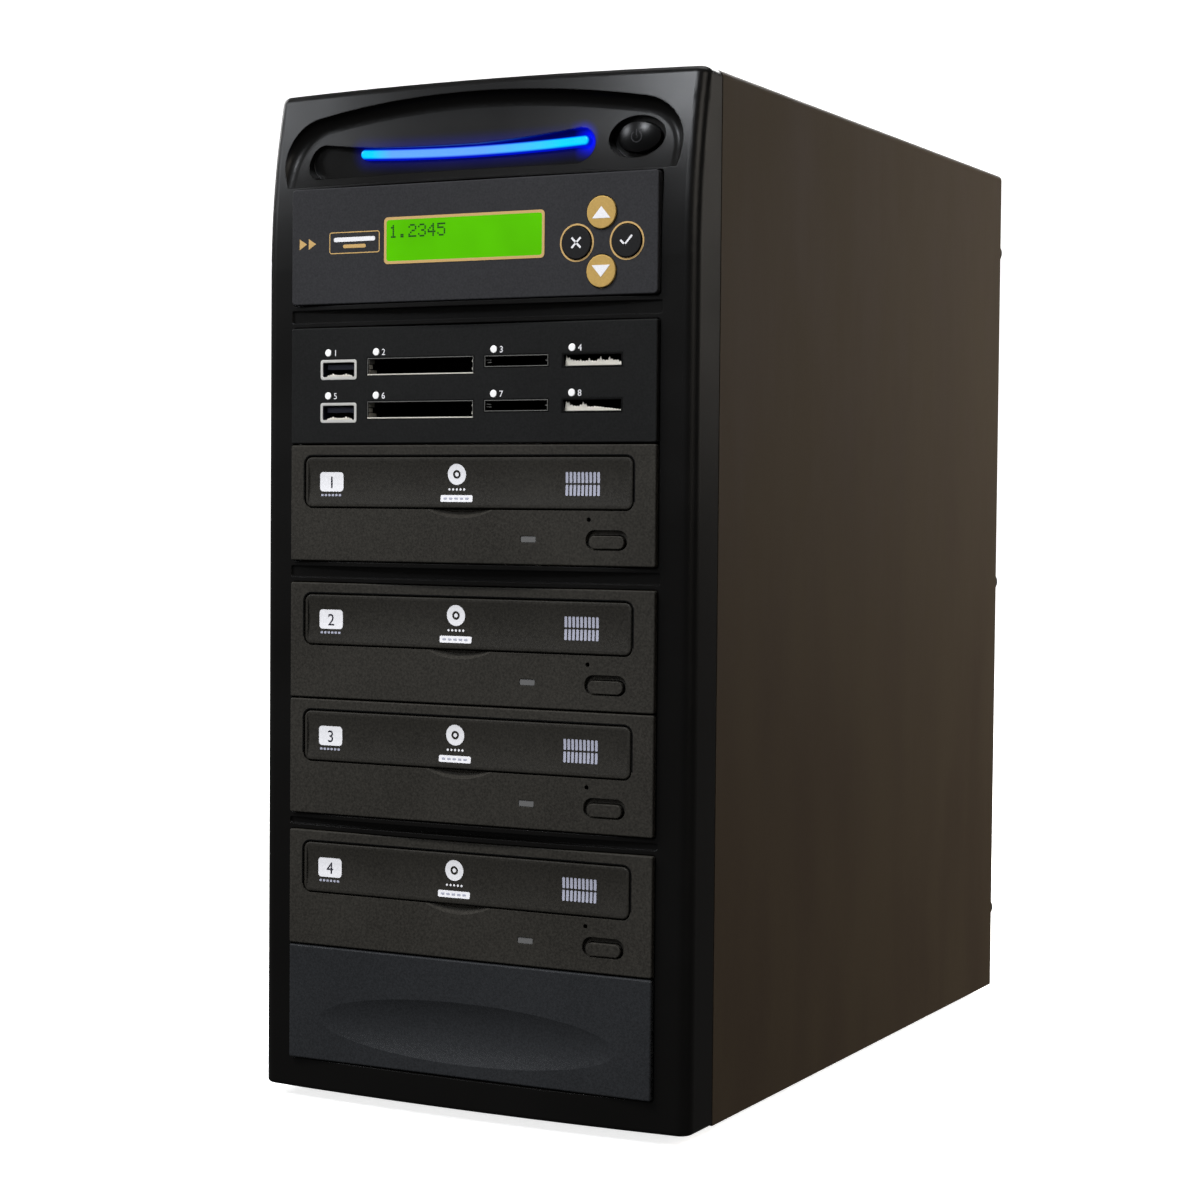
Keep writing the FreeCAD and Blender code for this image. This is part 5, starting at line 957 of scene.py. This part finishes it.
def tray_marks(n):
    """Generic marks: a numbered square, a disc ring with dots and a bar, and a block of bars."""
    surface = Surface(f"drive_{n}_tray_front")
    body = f"tray_{n}"
    left = panel_low.x
    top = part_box(f"drive_{n}_tray_front")[1].z

    def mark(kind, groups, look, **how):
        printed(f"tray_{kind}_{n}", groups, look, body, surface, **how)

    def corners(x, drop, width, height):
        return left + x, left + x + width, top - drop - height, top - drop

    x0, x1, z0, z1 = corners(*SQUARE_MARK)
    mark("square", [[rounded(x0, x1, z0, z1, SQUARE_CORNER)]], white_look, pitch=MARK_PITCH)
    ticks = row_of_boxes(TICKS, x0 + TICK_IN, TICK_PITCH, TICK_WIDTH, z0 + TICK_BOTTOM,
                         z0 + TICK_TOP, SMALL_CORNER)
    mark("ticks", ticks, lavender_look, pitch=MARK_PITCH)
    inset, rise, height = TRAY_NUMBER
    digits(f"tray_number_{n}", [(str(n), x0 + inset, z0 + rise, height)], dark_ink_look,
                   body, surface, lift=INK)

    x, drop, radius = RING_MARK
    x, z = left + x, top - drop
    ring = [[circle(x, z, radius, 48), circle(x, z, RING_HOLE * radius, 32)],
            [circle(x, z, RING_MIDDLE * radius, 20)]]
    dots = [[circle(x + i * DOT_STEP, z - radius - DOT_DROP, DOT_RADIUS, 12)]
            for i in (-2, -1, 0, 1, 2)]
    mark("ring", ring + dots, white_look, pitch=MARK_PITCH)

    x0, x1, z0, z1 = corners(*BAR_MARK)
    mark("bar", [[rounded(x0, x1, z0, z1, BAR_CORNER)]], white_look, pitch=MARK_PITCH)
    middle = (z0 + z1) / 2
    dashes = row_of_boxes(DASHES, x0 + DASH_IN, DASH_PITCH, DASH_WIDTH, middle - DASH_HALF,
                          middle + DASH_HALF, SMALL_CORNER)
    mark("dashes", dashes, lavender_look, lift=INK)

    x0, x1, z0, z1 = corners(*BLOCK_MARK)
    pitch = (x1 - x0) / BLOCK_COLUMNS
    tall = (z1 - z0) / 2 - BLOCK_GAP
    bars = []
    for low in (z0, z1 - tall):
        bars += row_of_boxes(BLOCK_COLUMNS, x0, pitch, BLOCK_FILL * pitch, low, low + tall,
                             BLOCK_GAP)
    mark("block", bars, lavender_look, pitch=MARK_PITCH)


def tray_edge(n):
    """Painted shade: a dark band where the mouth's edge is in shadow, round the top and the sides
    of its tray front.
    """
    low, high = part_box(f"drive_{n}_tray_front")
    foot = low.z + TRAY_CORNER
    near, far = TRAY_SHADE_REACH
    sides = []
    for offset in (far, near):
        loop = rounded(low.x - offset, high.x + offset, low.z - offset, high.z + offset,
                       TRAY_CORNER + offset)
        upper = [(x, z) for x, z in loop if z > foot + PRINT_SINK]
        sides.append([(high.x + offset, foot)] + upper + [(low.x - offset, foot)])
    band = sides[0] + sides[1][::-1]
    face = Flat(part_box(f"drive_{n}_bezel")[0].y)
    # Painted shade: a thin dark sheet on the drive's face, standing for the shadow at its mouth
    piece = printed(f"tray_edge_{n}", [[band]], slot_black_and_shade_look, "root", face, TRAY_SHADE_INK)


for n in DRIVES:
    tray_marks(n)
    tray_edge(n)


# Back
def solids_of(node):
    """Box of each separate solid in a node's mesh, as its lowest and highest corners."""
    mesh = bmesh.new()
    mesh.from_mesh(frame["nodes"][node].data)
    bmesh.ops.remove_doubles(mesh, verts=mesh.verts[:], dist=SAME_POINT)
    found = []
    left = set(mesh.verts)
    while left:
        group, front = set(), [left.pop()]
        while front:
            vert = front.pop()
            group.add(vert)
            linked = {edge.other_vert(vert) for edge in vert.link_edges} & left
            left -= linked
            front += linked
        found.append([Vector([pick(v.co[i] for v in group) for i in range(3)])
                      for pick in (min, max)])
    mesh.free()
    return sorted(found, key=lambda box: tuple(round(c, 5) for c in box[0]))


def screw_crosses():
    """Painted shade of the cross recess in each back screw's head: a thin dark cross laid on the
    head.
    """
    boxes = []
    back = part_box("chassis_rear_panel")[1].y
    for low, high in solids_of("screws"):
        if high.y > back and high.x - low.x < SCREW_WIDEST:
            x, z = (low.x + high.x) / 2, (low.z + high.z) / 2
            reach = CROSS_REACH * (high.x - low.x)
            depth = (high.y - CROSS_SUNK, high.y + CROSS_PROUD)
            for wide, tall in ((reach, CROSS_LINE), (CROSS_LINE, reach)):
                boxes.append(((x - wide, x + wide), depth, (z - tall, z + tall)))
    # Painted shade: solid dark crosses, not hollows, stand for the shadow inside the recesses
    blocks("screw_crosses", boxes, slot_black_and_shade_look, "root", FINE_EDGE)


def rocker_marks():
    """Plain on and off marks on the rocker's two halves: a stroke and a ring."""
    low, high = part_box("psu_rocker")
    surface = Surface("psu_rocker", 1)
    x, z = middle_of("psu_rocker")
    rise = (high.z - low.z) / 4
    mesh = bmesh.new()
    fill(mesh, [stroke(x, z + rise - ROCKER_MARK, x, z + rise + ROCKER_MARK, MARK_LINE)], 0.0)
    fill(mesh, [circle(x, z - rise, radius, 32) for radius in (ROCKER_MARK,
                                                               ROCKER_MARK - MARK_LINE)], 0.0)
    slice_rows(mesh, MARK_PITCH)
    for vert in mesh.verts:
        vert.co.y = surface.y(vert.co.x, vert.co.z) + INK
    thicken(mesh, INK + PRINT_SINK)
    piece_from("rocker_marks", mesh, white_look, "rocker")


screw_crosses()
rocker_marks()


# Stage, light and camera
def stage_floor():
    """Pale floor that curves up into a pale wall all round."""
    look = Finish("stage_pale", (0.86, 0.86, 0.86), 0.9)
    look.hold("Emission Color", (*WHITE, 1.0))
    look.hold("Emission Strength", STAGE_GLOW)
    profile = []
    for i in range(STAGE_STEPS + 1):
        angle = math.pi / 2 * i / STAGE_STEPS
        profile.append((STAGE_FLAT + STAGE_CURVE * math.sin(angle),
                        STAGE_CURVE * (1 - math.cos(angle)) - STAGE_DROP))
    profile.append((STAGE_FLAT + STAGE_CURVE, STAGE_TOP))
    mesh = bmesh.new()
    rings = [[mesh.verts.new((x, y, height)) for x, y in circle(0, 0, radius, STAGE_TURNS)]
             for radius, height in profile]
    mesh.faces.new(rings[0])
    for inner, outer in zip(rings, rings[1:]):
        for i in range(STAGE_TURNS):
            j = (i + 1) % STAGE_TURNS
            mesh.faces.new((inner[i], outer[i], outer[j], inner[j]))
    for face in mesh.faces:
        face.smooth = True
    data = bpy.data.meshes.new("stage")
    mesh.to_mesh(data)
    mesh.free()
    data.materials.append(look.material)
    floor = bpy.data.objects.new("stage", data)
    bpy.context.scene.collection.objects.link(floor)
    floor.visible_glossy = False
    floor.visible_diffuse = False


def soft_box(name, place, aim, width, height, watts, tint, glossy):
    """Area light at a place, aimed at a point, unseen by the camera."""
    data = bpy.data.lights.new(name, "AREA")
    data.shape = "RECTANGLE"
    data.size = width
    data.size_y = height
    data.energy = watts
    data.color = tint
    light = bpy.data.objects.new(name, data)
    light.location = place
    light.rotation_mode = "QUATERNION"
    light.rotation_quaternion = (Vector(aim) - Vector(place)).to_track_quat("-Z", "Y")
    light.visible_camera = False
    light.visible_glossy = glossy
    bpy.context.scene.collection.objects.link(light)


def studio():
    world = bpy.data.worlds.new("studio")
    world.use_nodes = True
    ambient = world.node_tree.nodes["Background"].inputs
    ambient["Color"].default_value = (*WHITE, 1.0)
    ambient["Strength"].default_value = AMBIENT
    bpy.context.scene.world = world


def camera():
    data = bpy.data.cameras.new("camera")
    data.lens = CAMERA_LENS
    data.sensor_width = SENSOR_WIDTH
    data.clip_start = CAMERA_NEAR
    data.clip_end = CAMERA_FAR
    cam = bpy.data.objects.new("camera", data)
    azimuth, down, roll = (math.radians(a) for a in (CAMERA_AZIMUTH, CAMERA_DOWN, CAMERA_ROLL))
    turn = (Matrix.Rotation(azimuth, 4, "Z") @ Matrix.Rotation(math.pi / 2 - down, 4, "X")
            @ Matrix.Rotation(roll, 4, "Z"))
    cam.matrix_world = Matrix.Translation(CAMERA_PLACE) @ turn
    bpy.context.scene.collection.objects.link(cam)
    bpy.context.scene.camera = cam


stage_floor()
for light in LIGHTS:
    soft_box(*light)
studio()
camera()
bpy.context.scene.view_settings.view_transform = "Standard"
bpy.context.scene.cycles.use_denoising = True
